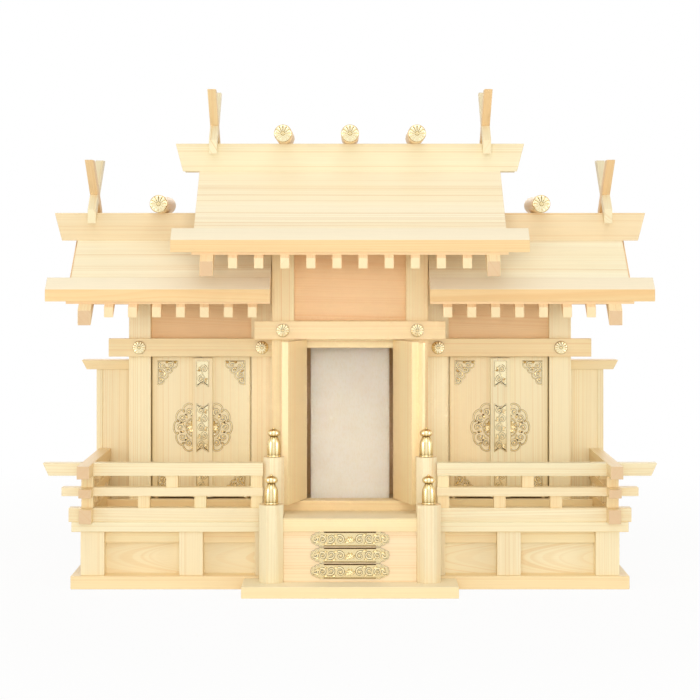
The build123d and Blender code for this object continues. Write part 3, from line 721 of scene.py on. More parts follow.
class Chasing:
    """Raised metalwork gathered in one mesh: sheets, ribs, scrolls, leaves and beads."""

    # Half of a rib's section from its foot up, and its crest: place across, height, brightness,
    # which is painted shade at the foot and in a leaf's vein and a painted highlight on the crest.
    ROUND = ((-1.0, 0.0, 0.0), (-0.72, 0.6, 0.1), (-0.42, 0.92, 0.9))
    ROUND_CREST = (0.0, 1.0, 1.0)
    VEINED = ((-1.0, 0.0, 0.0), (-0.76, 0.75, 0.15), (-0.48, 1.0, 1.0))
    VEINED_CREST = (0.0, 0.5, 0.15)
    LEAF_BEND = 22.0
    EYE_SHARE = 0.22
    BEAD_SIDES = 10
    BEAD_RINGS = (0.0, 0.4, 0.75)

    def __init__(self) -> None:
        """Start with no metal."""
        self.mesh = bmesh.new()
        self.relief = self.mesh.verts.layers.float.new("relief")
        self.first = 0
        self.mirrored = False

    def vert(self, x: float, y: float, height: float, relief: float) -> bmesh.types.BMVert:
        """Add a vertex.

        Args:
            x: Distance across.
            y: Distance up.
            height: Distance off the face.
            relief: Painted brightness, 0 for painted shade in a hollow to 1 for a painted highlight
                on a ridge.

        Returns:
            The vertex.
        """
        made = self.mesh.verts.new((x, y, height))
        made[self.relief] = relief
        return made

    def sheet(self, outline: Sequence[Point], height: float, relief: float = 0.3) -> None:
        """Add a flat sheet cut to an outline.

        Args:
            outline: The outline's points in order.
            height: Thickness of the sheet.
            relief: How bright its face is, a painted brightness.
        """
        foot = [self.vert(x, y, 0.0, 0.0) for x, y in outline]
        top = [self.vert(x, y, height, relief) for x, y in outline]
        count = len(outline)
        for i in range(count):
            j = (i + 1) % count
            self.mesh.faces.new((foot[i], foot[j], top[j], top[i]))
        self.mesh.faces.new(top)

    def rib(
        self,
        line: Sequence[Point],
        width: Callable[[float], float] | float,
        height: float,
        base: float = 0.0,
        veined: bool = False,
        closed: bool = False,
        gleam: float = 1.0,
    ) -> None:
        """Add a rounded rib along a line.

        Args:
            line: The line's points.
            width: Half width, or half width by the share of the way along.
            height: Height above its base.
            base: Height of its base.
            veined: Whether a groove runs down its middle, as on a leaf.
            closed: Whether the line's ends meet.
            gleam: Brightness of its crest, a painted highlight, 0 for a line left dark as painted
                shadow.
        """
        half_profile = self.VEINED if veined else self.ROUND
        crest = self.VEINED_CREST if veined else self.ROUND_CREST
        other_half = [(-side, up, relief) for side, up, relief in reversed(half_profile)]
        profile = [*half_profile, crest, *other_half]
        count = len(line)
        rings = []
        for i, (x, y) in enumerate(line):
            before = line[(i - 1) % count] if closed else line[max(i - 1, 0)]
            after = line[(i + 1) % count] if closed else line[min(i + 1, count - 1)]
            tangent = Vector((after[0] - before[0], after[1] - before[1]))
            tangent.normalize()
            half = width(i / (count - 1)) if callable(width) else width
            rise = min(1.0, half / 0.3)
            ring = [
                self.vert(
                    x - tangent.y * half * side,
                    y + tangent.x * half * side,
                    base + height * up * rise,
                    relief * gleam,
                )
                for side, up, relief in profile
            ]
            rings.append(ring)
        pairs = list(zip(rings, rings[1:]))
        if closed:
            pairs.append((rings[-1], rings[0]))
        for one, two in pairs:
            for k in range(len(profile) - 1):
                self.mesh.faces.new((one[k], one[k + 1], two[k + 1], two[k]))

    def leaf(
        self, foot: Point, angle: float, length: float, half: float, height: float, base: float = 0
    ) -> None:
        """Add a pointed leaf with a vein, bending a little to one side.

        Args:
            foot: Where it starts.
            angle: Direction in degrees.
            length: Its length.
            half: Its greatest half width.
            height: Its height.
            base: Height of its base.
        """
        line = []
        for step in range(8):
            share = step / 7
            bend = math.radians(angle + self.LEAF_BEND * share)
            reach = length * share
            line.append((foot[0] + reach * math.cos(bend), foot[1] + reach * math.sin(bend)))
        self.rib(
            line,
            lambda share: half * max(0.06, math.sin(math.pi * min(1, share + 0.04)) ** 0.8),
            height,
            base,
            veined=True,
        )

    def scroll(
        self,
        centre: Point,
        start: float,
        turn: float,
        outer: float,
        half: float,
        height: float,
        base: float = 0.0,
    ) -> None:
        """Add a tendril that winds into an eye with a bead.

        Args:
            centre: Its eye.
            start: Angle of its outer end in degrees.
            turn: Angle that it winds through in degrees.
            outer: Radius of its outer end.
            half: Half width of the tendril.
            height: Its height.
            base: Height of its base.
        """
        line = spiral(centre, start, turn, outer, outer * self.EYE_SHARE)
        self.rib(line, lambda share: half * (1.15 - 0.55 * share), height, base)
        self.bead(centre, outer * 0.24, height * 1.1, base)

    def bead(self, centre: Point, radius: float, height: float, base: float = 0.0) -> None:
        """Add a small dome.

        Args:
            centre: Its centre.
            radius: Its radius.
            height: Its height.
            base: Height of its base.
        """
        rings = []
        for share in self.BEAD_RINGS:
            reach = radius * math.cos(share * math.pi / 2)
            rise = height * math.sin(share * math.pi / 2)
            ring = []
            for step in range(self.BEAD_SIDES):
                angle = math.tau * step / self.BEAD_SIDES
                x = centre[0] + reach * math.cos(angle)
                y = centre[1] + reach * math.sin(angle)
                # The bead's painted brightness rises with its height: painted shade at its foot, a
                # painted highlight towards its top.
                ring.append(self.vert(x, y, base + rise, share))
            rings.append(ring)
        join_rings(self.mesh, rings)
        self.mesh.faces.new(rings[-1])

    def trim(self, edge: float) -> None:
        """Cut what was not laid yet to a straight upright edge.

        Args:
            edge: Distance of the edge across; nothing stays left of it.
        """
        self.mesh.verts.ensure_lookup_table()
        for vert in self.mesh.verts[self.first :]:
            vert.co.x = max(vert.co.x, edge)

    def lay(self, face: Face, flip: bool = False) -> None:
        """Lay what was added since the last call on a face.

        Args:
            face: The face.
            flip: Whether the work is turned upside down as a mirror image.
        """
        self.mesh.verts.ensure_lookup_table()
        new = self.mesh.verts[self.first :]
        for vert in new:
            x, y, height = vert.co
            vert.co = face.place(x, -y if flip else y, height)
        turned = face.across.cross(face.up).dot(face.out) < 0
        if turned != flip:
            faces = {f for vert in new for f in vert.link_faces}
            bmesh.ops.reverse_faces(self.mesh, faces=list(faces))
        self.first = len(self.mesh.verts)


def gild(name: str, chasing: Chasing, body: str, *replaces: str) -> bpy.types.Object:
    """Finish metalwork as a gilt piece that rides on a body and may stand for CAD nodes."""
    return finish_piece(name, chasing.mesh, GOLD.material(), body, replaces)


def island_centres(node: str) -> list[Vector]:
    """Centre of the back face of each rosette in a CAD node.

    Args:
        node: Name of the node.

    Returns:
        The centres in metres, each on the face that carries the rosette.
    """
    mesh = bmesh.new()
    mesh.from_mesh(frame["nodes"][node].data)
    bmesh.ops.remove_doubles(mesh, verts=mesh.verts, dist=WELD)
    centres = []
    for island in find_islands(mesh):
        points = np.array([vert.co for vert in island])
        low, high = points.min(axis=0), points.max(axis=0)
        middle = (low + high) / 2
        centres.append(Vector((middle[0], high[1], middle[2])))
    mesh.free()
    return centres


@dataclass(frozen=True)
class Rosette:
    """Pressed rosette: a fluted dome round a plain boss, in a turned rim."""

    radius: float = 5.45
    height: float = 1.8
    flutes: int = 12
    steps_per_flute: int = 12
    boss: float = 0.22
    boss_groove: float = 0.16
    dome_foot: float = 0.36
    flute_depth: float = 0.2
    crown: float = 0.97
    outer_shares: tuple[float, ...] = (1.0, 1.0, 0.93, 0.87, 0.78, 0.67, 0.56, 0.46, 0.36, 0.3)
    inner_shares: tuple[float, ...] = (0.17, 0.1)

    def press(self, chasing: Chasing, face: Face) -> None:
        """Add the rosette on a face.

        Args:
            chasing: The metalwork that it joins.
            face: The face, its origin at the rosette's centre.
        """
        around = self.flutes * self.steps_per_flute
        rings = []
        for index, share in enumerate((*self.outer_shares, self.boss, *self.inner_shares)):
            ring = []
            for step in range(around):
                angle = math.tau * step / around
                wave = abs(math.sin(self.flutes / 2 * angle))
                arch = math.sqrt(max(0.0, 1 - share**2))
                dome = self.height * (self.dome_foot + (1 - self.dome_foot) * arch)
                # Brightness is painted: a dark foot ring and boss groove as painted shade, flutes
                # in painted shade that is deeper on the upper half, and painted highlights between
                # them.
                height, relief = dome, 0.9
                if index < 2:
                    height, relief = height * index, 0.0
                elif share > self.boss:
                    swell = math.sin(math.pi * min(1, (1 - share) / 0.5))
                    depth = self.flute_depth * self.height * swell
                    height = min(dome, self.height * self.crown) - depth * (1 - wave)
                    dark = min(1.0, max(0.0, 1.9 - 2.9 * wave)) * (0.62 + 0.38 * math.sin(angle))
                    relief = 0.95 - (0.95 if share < 0.9 else 0.4) * dark
                elif share == self.boss:
                    height, relief = dome - self.boss_groove, 0.0
                elif share < self.boss:
                    relief = 0.6
                ring.append(
                    chasing.vert(
                        self.radius * share * math.cos(angle),
                        self.radius * share * math.sin(angle),
                        height,
                        relief,
                    )
                )
            rings.append(ring)
        join_rings(chasing.mesh, rings)
        chasing.mesh.faces.new(rings[-1])
        chasing.lay(face)

    def press_all(self, node: str) -> bpy.types.Object:
        """Press a rosette wherever a CAD node has one.

        Args:
            node: Name of the node.

        Returns:
            The piece that stands for the node.
        """
        chasing = Chasing()
        for centre in island_centres(node):
            self.press(chasing, front_face(*centre))
        return gild(f"{node}_pressed", chasing, "shrine", node)


@dataclass(frozen=True)
class Plinth:
    """Four bars that lie on the shelf, with a lath inside each end bar."""

    edge: float = 0.5
    bar_width: float = 16.0
    panel_thickness: float = 3.0

    def laths(self, end_bars: Timber) -> bpy.types.Object:
        """Make the laths that fill the gap between the end bars and the side panels.

        Args:
            end_bars: The end bars, whose wood the laths share.

        Returns:
            The piece.
        """
        low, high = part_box("plinth_end_bars")
        _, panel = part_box("base_panels")
        inner = panel[0] - self.panel_thickness * MM
        outer = high[0] - self.bar_width * MM
        middle = Vector(((inner + outer) / 2, (low[1] + high[1]) / 2, (low[2] + high[2]) / 2))
        size = Vector((outer - inner, high[1] - low[1], high[2] - low[2]))
        mesh = bmesh.new()
        for side in (-1, 1):
            cube = bmesh.ops.create_cube(mesh, size=1.0)["verts"]
            bmesh.ops.scale(mesh, vec=size, verts=cube)
            bmesh.ops.translate(mesh, vec=(side * middle[0], middle[1], middle[2]), verts=cube)
        end_bars.draw_grain(mesh)
        wood = end_bars.finish.material()
        return finish_piece("plinth_laths", mesh, wood, "shrine")

    def build(self) -> list[bpy.types.Object]:
        """Make the bars and the laths.

        Returns:
            The pieces.
        """
        long_bars = Timber("plinth_long_bars", warm_tone_and_painted_shade=0.2, edge=self.edge)
        end_bars = Timber("plinth_end_bars", edge=self.edge)
        return [long_bars.build(), end_bars.build(), self.laths(end_bars)]


@dataclass(frozen=True)
class BoxedBase:
    """Posts, rails and panels between the plinth and the deck."""

    edge: float = 0.3

    def build(self) -> list[bpy.types.Object]:
        """Make the posts, rails, panels and the deck on them.

        Returns:
            The pieces.
        """
        return [
            Timber("base_posts", run=Run.UPRIGHT, finish=PALE, edge=self.edge).build(),
            Timber("base_rails", edge=self.edge).build(),
            Timber("base_panels", Cut.FLAT, finish=PALE, edge=0.1, warm_tone_and_painted_shade=0.15).build(),
            Timber("deck_board", edge=self.edge, finish=PALE).build(),
        ]


@dataclass(frozen=True)
class StairPlates:
    """Three pressed plates with pointed, lobed ends and running tendrils."""

    count: int = 3
    lowest: float = 11.8
    pitch: float = 12.8
    height: float = 11.6
    half_length: float = 31.0
    straight: float = 20.6
    metal: float = 0.45

    def outline(self) -> list[Point]:
        """Draw one plate: straight edges, then lobes that narrow to a point.

        Returns:
            The outline's points.
        """
        top = self.height / 2 - 0.4
        quarter = [(self.straight, top)]
        lobes = ((23.2, 4.3, 1.5), (26.2, 3.1, 1.6), (28.9, 1.7, 1.5))
        for x, y, radius in lobes:
            for step in range(7):
                angle = math.radians(118 - 22 * step)
                quarter.append((x + radius * math.cos(angle), y + radius * math.sin(angle)))
        quarter.append((self.half_length, 0.0))
        right = quarter + [(x, -y) for x, y in reversed(quarter[:-1])]
        left = [(-x, y) for x, y in reversed(right)]
        return right + left

    def press(self, chasing: Chasing, face: Face) -> None:
        """Add one plate.

        Args:
            chasing: The metalwork that it joins.
            face: The face, its origin at the plate's centre.
        """
        outline = self.outline()
        chasing.sheet(outline, self.metal, 0.6)
        chasing.rib(outline, 0.5, 0.4, self.metal - 0.1, closed=True, gleam=0.9)
        # Painted shadow: a dark line along the top edge, while the line along the bottom edge is
        # only a little brighter.
        edge = self.height / 2 - 0.45
        for y, gleam in ((edge, 0.0), (-edge, 0.3)):
            line = [(-self.straight, y), (self.straight, y)]
            chasing.rib(line, 0.42, 0.15, self.metal + 0.3, gleam=gleam)
        for side in (-1, 1):
            for x, y, start, turn, reach in (
                (7.8, -0.5, 60, 430, 3.7),
                (15.2, 0.5, -60, -430, 3.5),
                (21.8, -0.4, 60, 400, 3.1),
                (27.2, 0.0, -40, -380, 2.1),
            ):
                start = start if side > 0 else 180 - start
                chasing.scroll((side * x, y), start, side * turn, reach, 0.9, 0.8, self.metal)
            for x, y, angle in (
                (9.6, 3.0, 0),
                (11.0, -3.6, 10),
                (17.4, -3.4, 5),
                (18.0, 3.0, -10),
                (24.0, 2.6, -30),
                (24.2, -2.4, 20),
            ):
                angle = angle if side > 0 else 180 - angle
                chasing.leaf((side * x, y), angle, 4.0, 1.1, 0.7, self.metal)
        for angle in range(10, 180, 40):
            chasing.leaf((0, -2.2), angle, 4.6, 1.25, 0.8, self.metal)
        chasing.bead((0, -2.0), 1.3, 1.0, self.metal)
        chasing.lay(face)

    def build(self, face_y: float) -> bpy.types.Object:
        """Make the three plates as one piece.

        Args:
            face_y: Depth of the stair's face in metres.

        Returns:
            The piece.
        """
        chasing = Chasing()
        for index in range(self.count):
            z = (self.lowest + self.height / 2 + index * self.pitch) * MM
            self.press(chasing, front_face(0, face_y, z))
        return gild("stair_plates_chased", chasing, "shrine", "stair_plates")


@dataclass(frozen=True)
class Stair:
    """Stair block before the middle bay, its base board, top board and plates."""

    edge: float = 0.4
    plates: StairPlates = StairPlates()

    def build(self) -> list[bpy.types.Object]:
        """Make the boards and lay the plates on the block's face.

        Returns:
            The pieces.
        """
        low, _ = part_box("stair_block")
        return [
            Timber("stair_base_board", edge=self.edge, painted_top_light=0.5).build(),
            Timber("stair_block", edge=self.edge, finish=ROOFING, warm_tone_and_painted_shade=0.32).build(),
            Timber("stair_top_board", edge=self.edge, tone=0.05, warm_tone_and_painted_shade=0.15, painted_top_light=0.4).build(),
            self.plates.build(low[1]),
        ]


# Radius share, height share and relief along a finial's outline, foot first; the relief is painted
# brightness, painted shade in the grooves and painted highlights on the swells.
ONION_OUTLINE: tuple[tuple[float, float, float], ...] = (
    (1.0, 0.0, 0.2),
    (1.0, 0.035, 0.9),
    (0.97, 0.05, 0.9),
    (0.93, 0.065, 0.15),
    (0.935, 0.1, 0.5),
    (0.95, 0.2, 0.8),
    (0.945, 0.3, 0.9),
    (0.93, 0.4, 0.9),
    (0.9, 0.47, 0.9),
    (0.84, 0.52, 0.9),
    (0.74, 0.57, 0.7),
    (0.64, 0.61, 0.5),
    (0.57, 0.65, 0.3),
    (0.54, 0.68, 0.05),
    (0.6, 0.695, 0.1),
    (0.75, 0.715, 0.4),
    (0.87, 0.75, 0.8),
    (0.91, 0.79, 1.0),
    (0.88, 0.83, 1.0),
    (0.78, 0.87, 0.9),
    (0.6, 0.9, 0.6),
    (0.38, 0.92, 0.3),
    (0.24, 0.93, 0.1),
    (0.2, 0.95, 0.5),
    (0.14, 0.975, 0.8),
    (0.05, 0.99, 0.9),
)


@dataclass(frozen=True)
class NewelPosts:
    """Octagonal newel posts with gilt onion finials."""

    edge: float = 0.25
    finial_height: float = 24.0
    finial_radius: float = 5.7
    # Bands of painted reflection round each finial.
    painted_reflection_bands: int = 12
    painted_reflection_depth: float = 0.32
    around: int = 72
    centres: tuple[tuple[float, float, float], ...] = (
        (62.5, -87.5, 70.5),
        (61.5, -62.75, 105.3),
    )

    def turn(self, chasing: Chasing, x: float, y: float, z: float) -> None:
        """Turn one finial on a post.

        Args:
            chasing: The metalwork that it joins.
            x: Place of its axis along X in millimetres.
            y: Place of its axis along Y in millimetres.
            z: Height of its foot in millimetres.
        """
        rings = []
        for reach, rise, relief in ONION_OUTLINE:
            ring = []
            for step in range(self.around):
                angle = math.tau * step / self.around
                # Painted reflection: the brightness waves round the finial as if it mirrored its
                # surroundings.
                wave = math.cos(self.painted_reflection_bands * angle)
                painted_reflection = 1.0 - self.painted_reflection_depth + self.painted_reflection_depth * wave
                ring.append(
                    chasing.vert(
                        (x + reach * self.finial_radius * math.cos(angle)) * MM,
                        (y + reach * self.finial_radius * math.sin(angle)) * MM,
                        (z + rise * self.finial_height) * MM,
                        relief * painted_reflection,
                    )
                )
            rings.append(ring)
        join_rings(chasing.mesh, rings)
        chasing.mesh.faces.new(rings[-1])
        chasing.mesh.faces.new(list(reversed(rings[0])))

    def build(self) -> list[bpy.types.Object]:
        """Make the posts and their finials.

        Returns:
            The pieces.
        """
        posts = Timber("newel_posts", run=Run.UPRIGHT, finish=PALE, edge=self.edge).build()
        chasing = Chasing()
        for x, y, z in self.centres:
            for side in (-1, 1):
                self.turn(chasing, side * x, y, z)
        return [posts, gild("newel_finials_turned", chasing, "shrine", "newel_finials")]


@dataclass(frozen=True)
class Railing:
    """Rails halved into each other at the corners, and short posts between them."""

    edge: float = 0.3

    def build(self) -> list[bpy.types.Object]:
        """Make the rails and posts.

        Returns:
            The pieces.
        """
        return [
            Timber("front_rails", finish=PALE, edge=self.edge).build(),
            Timber("side_rails", finish=ROSY_ENDS, edge=self.edge, warm_tone_and_painted_shade=0.2).build(),
            Timber("fence_posts", run=Run.UPRIGHT, edge=0.2).build(),
        ]


@dataclass(frozen=True)
class WingScreens:
    """Low screens beside the outer bays."""

    edge: float = 0.3

    def build(self) -> list[bpy.types.Object]:
        """Make the posts, panels and caps.

        Returns:
            The pieces.
        """
        return [
            Timber("wing_posts", run=Run.UPRIGHT, finish=PALE, edge=self.edge, tone=0.03).build(),
            Timber("wing_panels", run=Run.UPRIGHT, finish=PALE, edge=0.1, tone=0.06).build(),
            Timber("wing_caps", edge=self.edge).build(),
        ]


@dataclass(frozen=True)
class ShrineBody:
    """Pillars, beams and walls of the three bays, with rosettes on the beams."""

    edge: float = 0.35
    rosette: Rosette = Rosette()

    def build(self) -> list[bpy.types.Object]:
        """Make the pillars, beams, walls and rosettes.

        Returns:
            The pieces.
        """
        return [
            Timber("middle_pillars", run=Run.UPRIGHT, edge=self.edge, tone=0.04).build(),
            Timber("side_pillars", run=Run.UPRIGHT, finish=PALE, edge=self.edge, tone=0.07).build(),
            Timber("sill_beams", edge=0.3, tone=0.05, warm_tone_and_painted_shade=0.15, painted_top_light=0.3).build(),
            # Tie beams and upper walls sit under the eaves: their warm tint is painted warm shade,
            # with less of it in the side bays.
            Timber("tie_beams", edge=0.3, warm_tone_and_painted_shade=0.3, side_warm_tone_and_painted_shade=-0.2).build(),
            Timber("thresholds", edge=0.2).build(),
            Timber("lintels", edge=0.2).build(),
            Timber("door_jambs", run=Run.UPRIGHT, edge=0.1).build(),
            Timber("door_headers", edge=0.2).build(),
            Timber(
                "upper_walls",
                Cut.FLAT,
                Run.SIDEWAYS,
                PAINTED_EAVE_SHADE,
                edge=0.1,
                warm_tone_and_painted_shade=0.3,
                side_warm_tone_and_painted_shade=-0.3,
            ).build(),
            Timber("side_walls", Cut.EDGE, Run.UPRIGHT, PAINTED_EAVE_SHADE, edge=0.2).build(),
            Timber("back_walls", Cut.FLAT, Run.UPRIGHT, FIGURED, edge=0.2).build(),
            self.rosette.press_all("beam_rosettes"),
        ]


@dataclass(frozen=True)
class DoorFittings:
    """Pierced corner plates, half medallions and strip plates of a pair of doors."""

    corner_width: float = 17.2
    corner_height: float = 20.9
    hinge_margin: float = 0.9
    top_margin: float = 3.2
    medallion_width: float = 16.7
    medallion_height: float = 42.3
    rim_reach: float = 0.86
    rim_lobe: float = 0.12
    slot_reach: float = 0.62
    ring_reach: float = 0.36
    scroll_reach: float = 0.66
    strip_plate: float = 5.0
    strip_notch: float = 3.2
    strip_curl: float = 9.0
    strip_gap: float = 0.15
    metal: float = 0.3
    relief: float = 0.55

    def corner(self, chasing: Chasing) -> None:
        """Add a corner plate, its right angle at the origin, opening right and down.

        Args:
            chasing: The metalwork that it joins.
        """
        wide, tall = self.corner_width, self.corner_height
        chasing.rib([(0.0, -0.4), (wide, -0.4)], 0.4, self.relief, gleam=0.3)
        chasing.rib([(0.5, -0.5), (0.5, -tall)], 0.5, self.relief)
        lace = [(wide, -0.4)]
        for x, y, radius in (
            (13.4, -3.2, 3.4),
            (9.6, -7.6, 3.2),
            (5.6, -12.4, 3.4),
            (2.6, -17.2, 3.0),
        ):
            for step in range(7):
                angle = math.radians(30 - 22 * step)
                lace.append((x + radius * math.cos(angle), y + radius * math.sin(angle)))
        lace.append((0.4, -tall + 0.3))
        chasing.rib(lace, 0.55, self.relief, gleam=0.9)
        for x, y, start, turn, reach in (
            (4.4, -4.6, 120, 430, 3.4),
            (11.4, -3.8, 160, -430, 2.9),
            (3.9, -11.8, 80, -430, 3.0),
            (8.8, -8.0, -20, 400, 2.3),
            (2.9, -16.8, 60, -400, 1.9),
        ):
            chasing.scroll((x, y), start, turn, reach, 0.72, self.relief)
        for x, y, angle in (
            (6.8, -1.2, -20),
            (7.0, -5.6, -45),
            (1.4, -7.6, -60),
            (6.6, -9.6, -110),
            (13.8, -1.4, -15),
            (1.6, -14.4, -60),
        ):
            chasing.leaf((x, y), angle, 3.6, 1.05, self.relief)

    def half_medallion(self, chasing: Chasing) -> None:
        """Add half a medallion, its straight edge on the vertical through the origin.

        Args:
            chasing: The metalwork that it joins.
        """

        def spot(reach: float, degrees: float) -> Point:
            """Find a place by its direction.

            Args:
                reach: Share of the way from the middle to the rim.
                degrees: The direction, 0 across and 90 up.

            Returns:
                The place.
            """
            angle = math.radians(degrees)
            return (
                reach * self.medallion_width * math.cos(angle),
                reach * self.medallion_height / 2 * math.sin(angle),
            )

        rim = []
        for step in range(61):
            degrees = 90 - 3 * step
            lobe = abs(math.sin(math.radians(5 * (degrees + 90))))
            rim.append(spot(self.rim_reach + self.rim_lobe * lobe**0.6, degrees))
        chasing.rib(rim, 0.68, self.relief, gleam=0.9)
        # The slots are dark ribs, painted shadow where the plate is pierced.
        for degrees in (54, 18, -18, -54):
            x, y = spot(self.slot_reach, degrees)
            chasing.rib([(x - 0.8, y), (x + 0.8, y)], 0.75, self.relief * 1.15, gleam=0.0)
        chasing.rib([(0.5, rim[0][1]), (0.5, rim[-1][1])], 0.5, self.relief, gleam=0.7)
        ring = [spot(self.ring_reach, 90 - 10 * step) for step in range(19)]
        chasing.rib(ring, 0.55, self.relief, gleam=0.7)
        for index in range(5):
            degrees = 72 - 36 * index
            way = 1 if index % 2 else -1
            centre = spot(self.scroll_reach, degrees)
            chasing.scroll(centre, degrees + 180, way * 450, 3.3, 0.8, self.relief)
            for lean, share in ((-20, 0.46), (17, 0.5), (-18, 0.74), (18, 0.74)):
                chasing.leaf(spot(share, degrees + lean), degrees + lean, 3.4, 1.1, self.relief)
        for degrees in (66, 33, 0, -33, -66):
            chasing.leaf(spot(0.04, degrees), degrees - 10, 5.2, 1.3, self.relief * 1.1)
        chasing.bead((1.4, 0.0), 1.4, self.relief * 1.4)
        chasing.trim(self.strip_gap)

    def strip(self, chasing: Chasing, low: float, high: float, notched: tuple[bool, bool]) -> None:
        """Add a plate on the cover strip.

        Args:
            chasing: The metalwork that it joins.
            low: Its lower end.
            high: Its upper end.
            notched: Whether its lower and its upper end are cut to a swallowtail.
        """
        half, notch = self.strip_plate, self.strip_notch
        outline = [(-half, low)]
        if notched[0]:
            outline.append((0, low + notch))
        outline += [(half, low), (half, high)]
        if notched[1]:
            outline.append((0, high - notch))
        outline.append((-half, high))
        chasing.sheet(outline, self.metal, 0.85)
        chasing.rib(outline, 0.35, 0.3, self.metal - 0.05, closed=True, gleam=0.9)
        for end, inward, is_cut in ((low, 1, notched[0]), (high, -1, notched[1])):
            if is_cut:
                vee = [(-half + 0.6, end), (0, end + inward * notch), (half - 0.6, end)]
                vee = [(x, y + inward * 1.4) for x, y in vee]
                chasing.rib(vee, 0.4, 0.3, self.metal, gleam=0.0)
        length = high - low
        count = max(2, round(length / self.strip_curl))
        step = (length - 4.4) / count
        knots = [(0.0, low + 3.4)]
        for index in range(count):
            y = low + 2.2 + step * (index + 0.5)
            side = 1 if index % 2 else -1
            knots.append((side * 2.0, y))
            chasing.scroll((-side * 1.0, y), 90, side * 420, 3.0, 0.8, self.relief, self.metal)
            for angle in (35, -35):
                turned = angle if side > 0 else 180 - angle
                chasing.leaf((side * 1.4, y - 0.6), turned, 3.2, 1.0, self.relief, self.metal)
        knots.append((0.0, high - 3.4))
        chasing.rib(smooth_line(knots), 0.45, self.relief, self.metal)


@dataclass(frozen=True)
class DoorPair:
    """One pair of hinged doors, with the cover strip on the right leaf."""

    bay: str
    open_angle: float
    finish: Cypress = PALE
    tone: float = 0.06
    thickness: float = 5.9
    leaf_width: float = 38.1
    meeting_gap: float = 0.3
    strip_half: float = 8.4
    strip_offset: float = 1.3
    strip_thickness: float = 3.0
    strip_head_gap: float = 1.0
    plate_margin: float = 2.6
    plate_end: float = 24.4
    middle_plate_half: float = 20.7
    edge: float = 0.15
    fittings: DoorFittings = DoorFittings()

    def leaf_face(self, side: int) -> Face:
        """Outer face of a leaf, measured from its pivot and its foot.

        Args:
            side: -1 for the left leaf and 1 for the right.

        Returns:
            The face, its first direction towards the free edge.
        """
        name = "left" if side < 0 else "right"
        joint = next(
            joint
            for joint in frame["record"]["behaviour"]["joints"]
            if joint["name"] == f"{self.bay}_bay_{name}_hinge"
        )
        turn = math.radians(side * self.open_angle)
        low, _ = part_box(f"{self.bay}_bay_meeting_strip")
        pivot = Vector((joint["pos_m"][0], joint["pos_m"][1], low[2]))
        along = Vector((-side * math.cos(turn), -side * math.sin(turn), 0))
        out = Vector((math.sin(turn), -math.cos(turn), 0))
        return Face(pivot + out * (self.thickness / 2 * MM), along, Vector((0, 0, 1)), out)

    def dress_leaf(self, side: int, height: float) -> bpy.types.Object:
        """Make the fittings of one leaf.

        Args:
            side: -1 for the left leaf and 1 for the right.
            height: Height of the leaf in millimetres.

        Returns:
            The piece.
        """
        face = self.leaf_face(side)
        work = self.fittings
        chasing = Chasing()
        for flip in (False, True):
            y = work.top_margin if flip else height + self.strip_head_gap - work.top_margin
            work.corner(chasing)
            corner = Face(face.place(work.hinge_margin, y, 0), face.across, face.up, face.out)
            chasing.lay(corner, flip)
        cover = self.strip_half + side * self.strip_offset
        edge = self.leaf_width + self.meeting_gap - cover
        work.half_medallion(chasing)
        origin = face.place(edge, height / 2, 0)
        chasing.lay(Face(origin, -face.across, face.up, face.out))
        name = "left" if side < 0 else "right"
        leaf = f"{self.bay}_bay_{name}"
        return gild(f"{leaf}_leaf_fittings", chasing, f"{leaf}_door")

    def dress_strip(self, height: float) -> bpy.types.Object:
        """Make the three plates on the cover strip.

        Args:
            height: Height of the strip in millimetres.

        Returns:
            The piece.
        """
        face = self.leaf_face(1)
        line = self.leaf_width + self.meeting_gap - self.strip_offset
        origin = face.place(line, 0, self.strip_thickness)
        face = Face(origin, face.across, face.up, face.out)
        work = self.fittings
        chasing = Chasing()
        near, far, half = self.plate_margin, self.plate_end, self.middle_plate_half
        work.strip(chasing, near, far, (False, True))
        work.strip(chasing, height / 2 - half, height / 2 + half, (True, True))
        work.strip(chasing, height - far, height - near, (True, False))
        chasing.lay(face)
        return gild(f"{self.bay}_bay_strip_fittings", chasing, f"{self.bay}_bay_right_door")

    def build(self) -> list[bpy.types.Object]:
        """Make the leaves, the cover strip and their fittings.

        Returns:
            The pieces.
        """
        low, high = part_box(f"{self.bay}_bay_meeting_strip")
        height = (high[2] - low[2]) / MM
        boards = [
            Timber(
                f"{self.bay}_bay_{name}", Cut.EDGE, Run.UPRIGHT, self.finish, self.edge, self.tone
            ).build()
            for name in ("left_leaf", "right_leaf", "meeting_strip")
        ]
        fittings = [self.dress_leaf(-1, height), self.dress_leaf(1, height)]
        return [*boards, *fittings, self.dress_strip(height)]


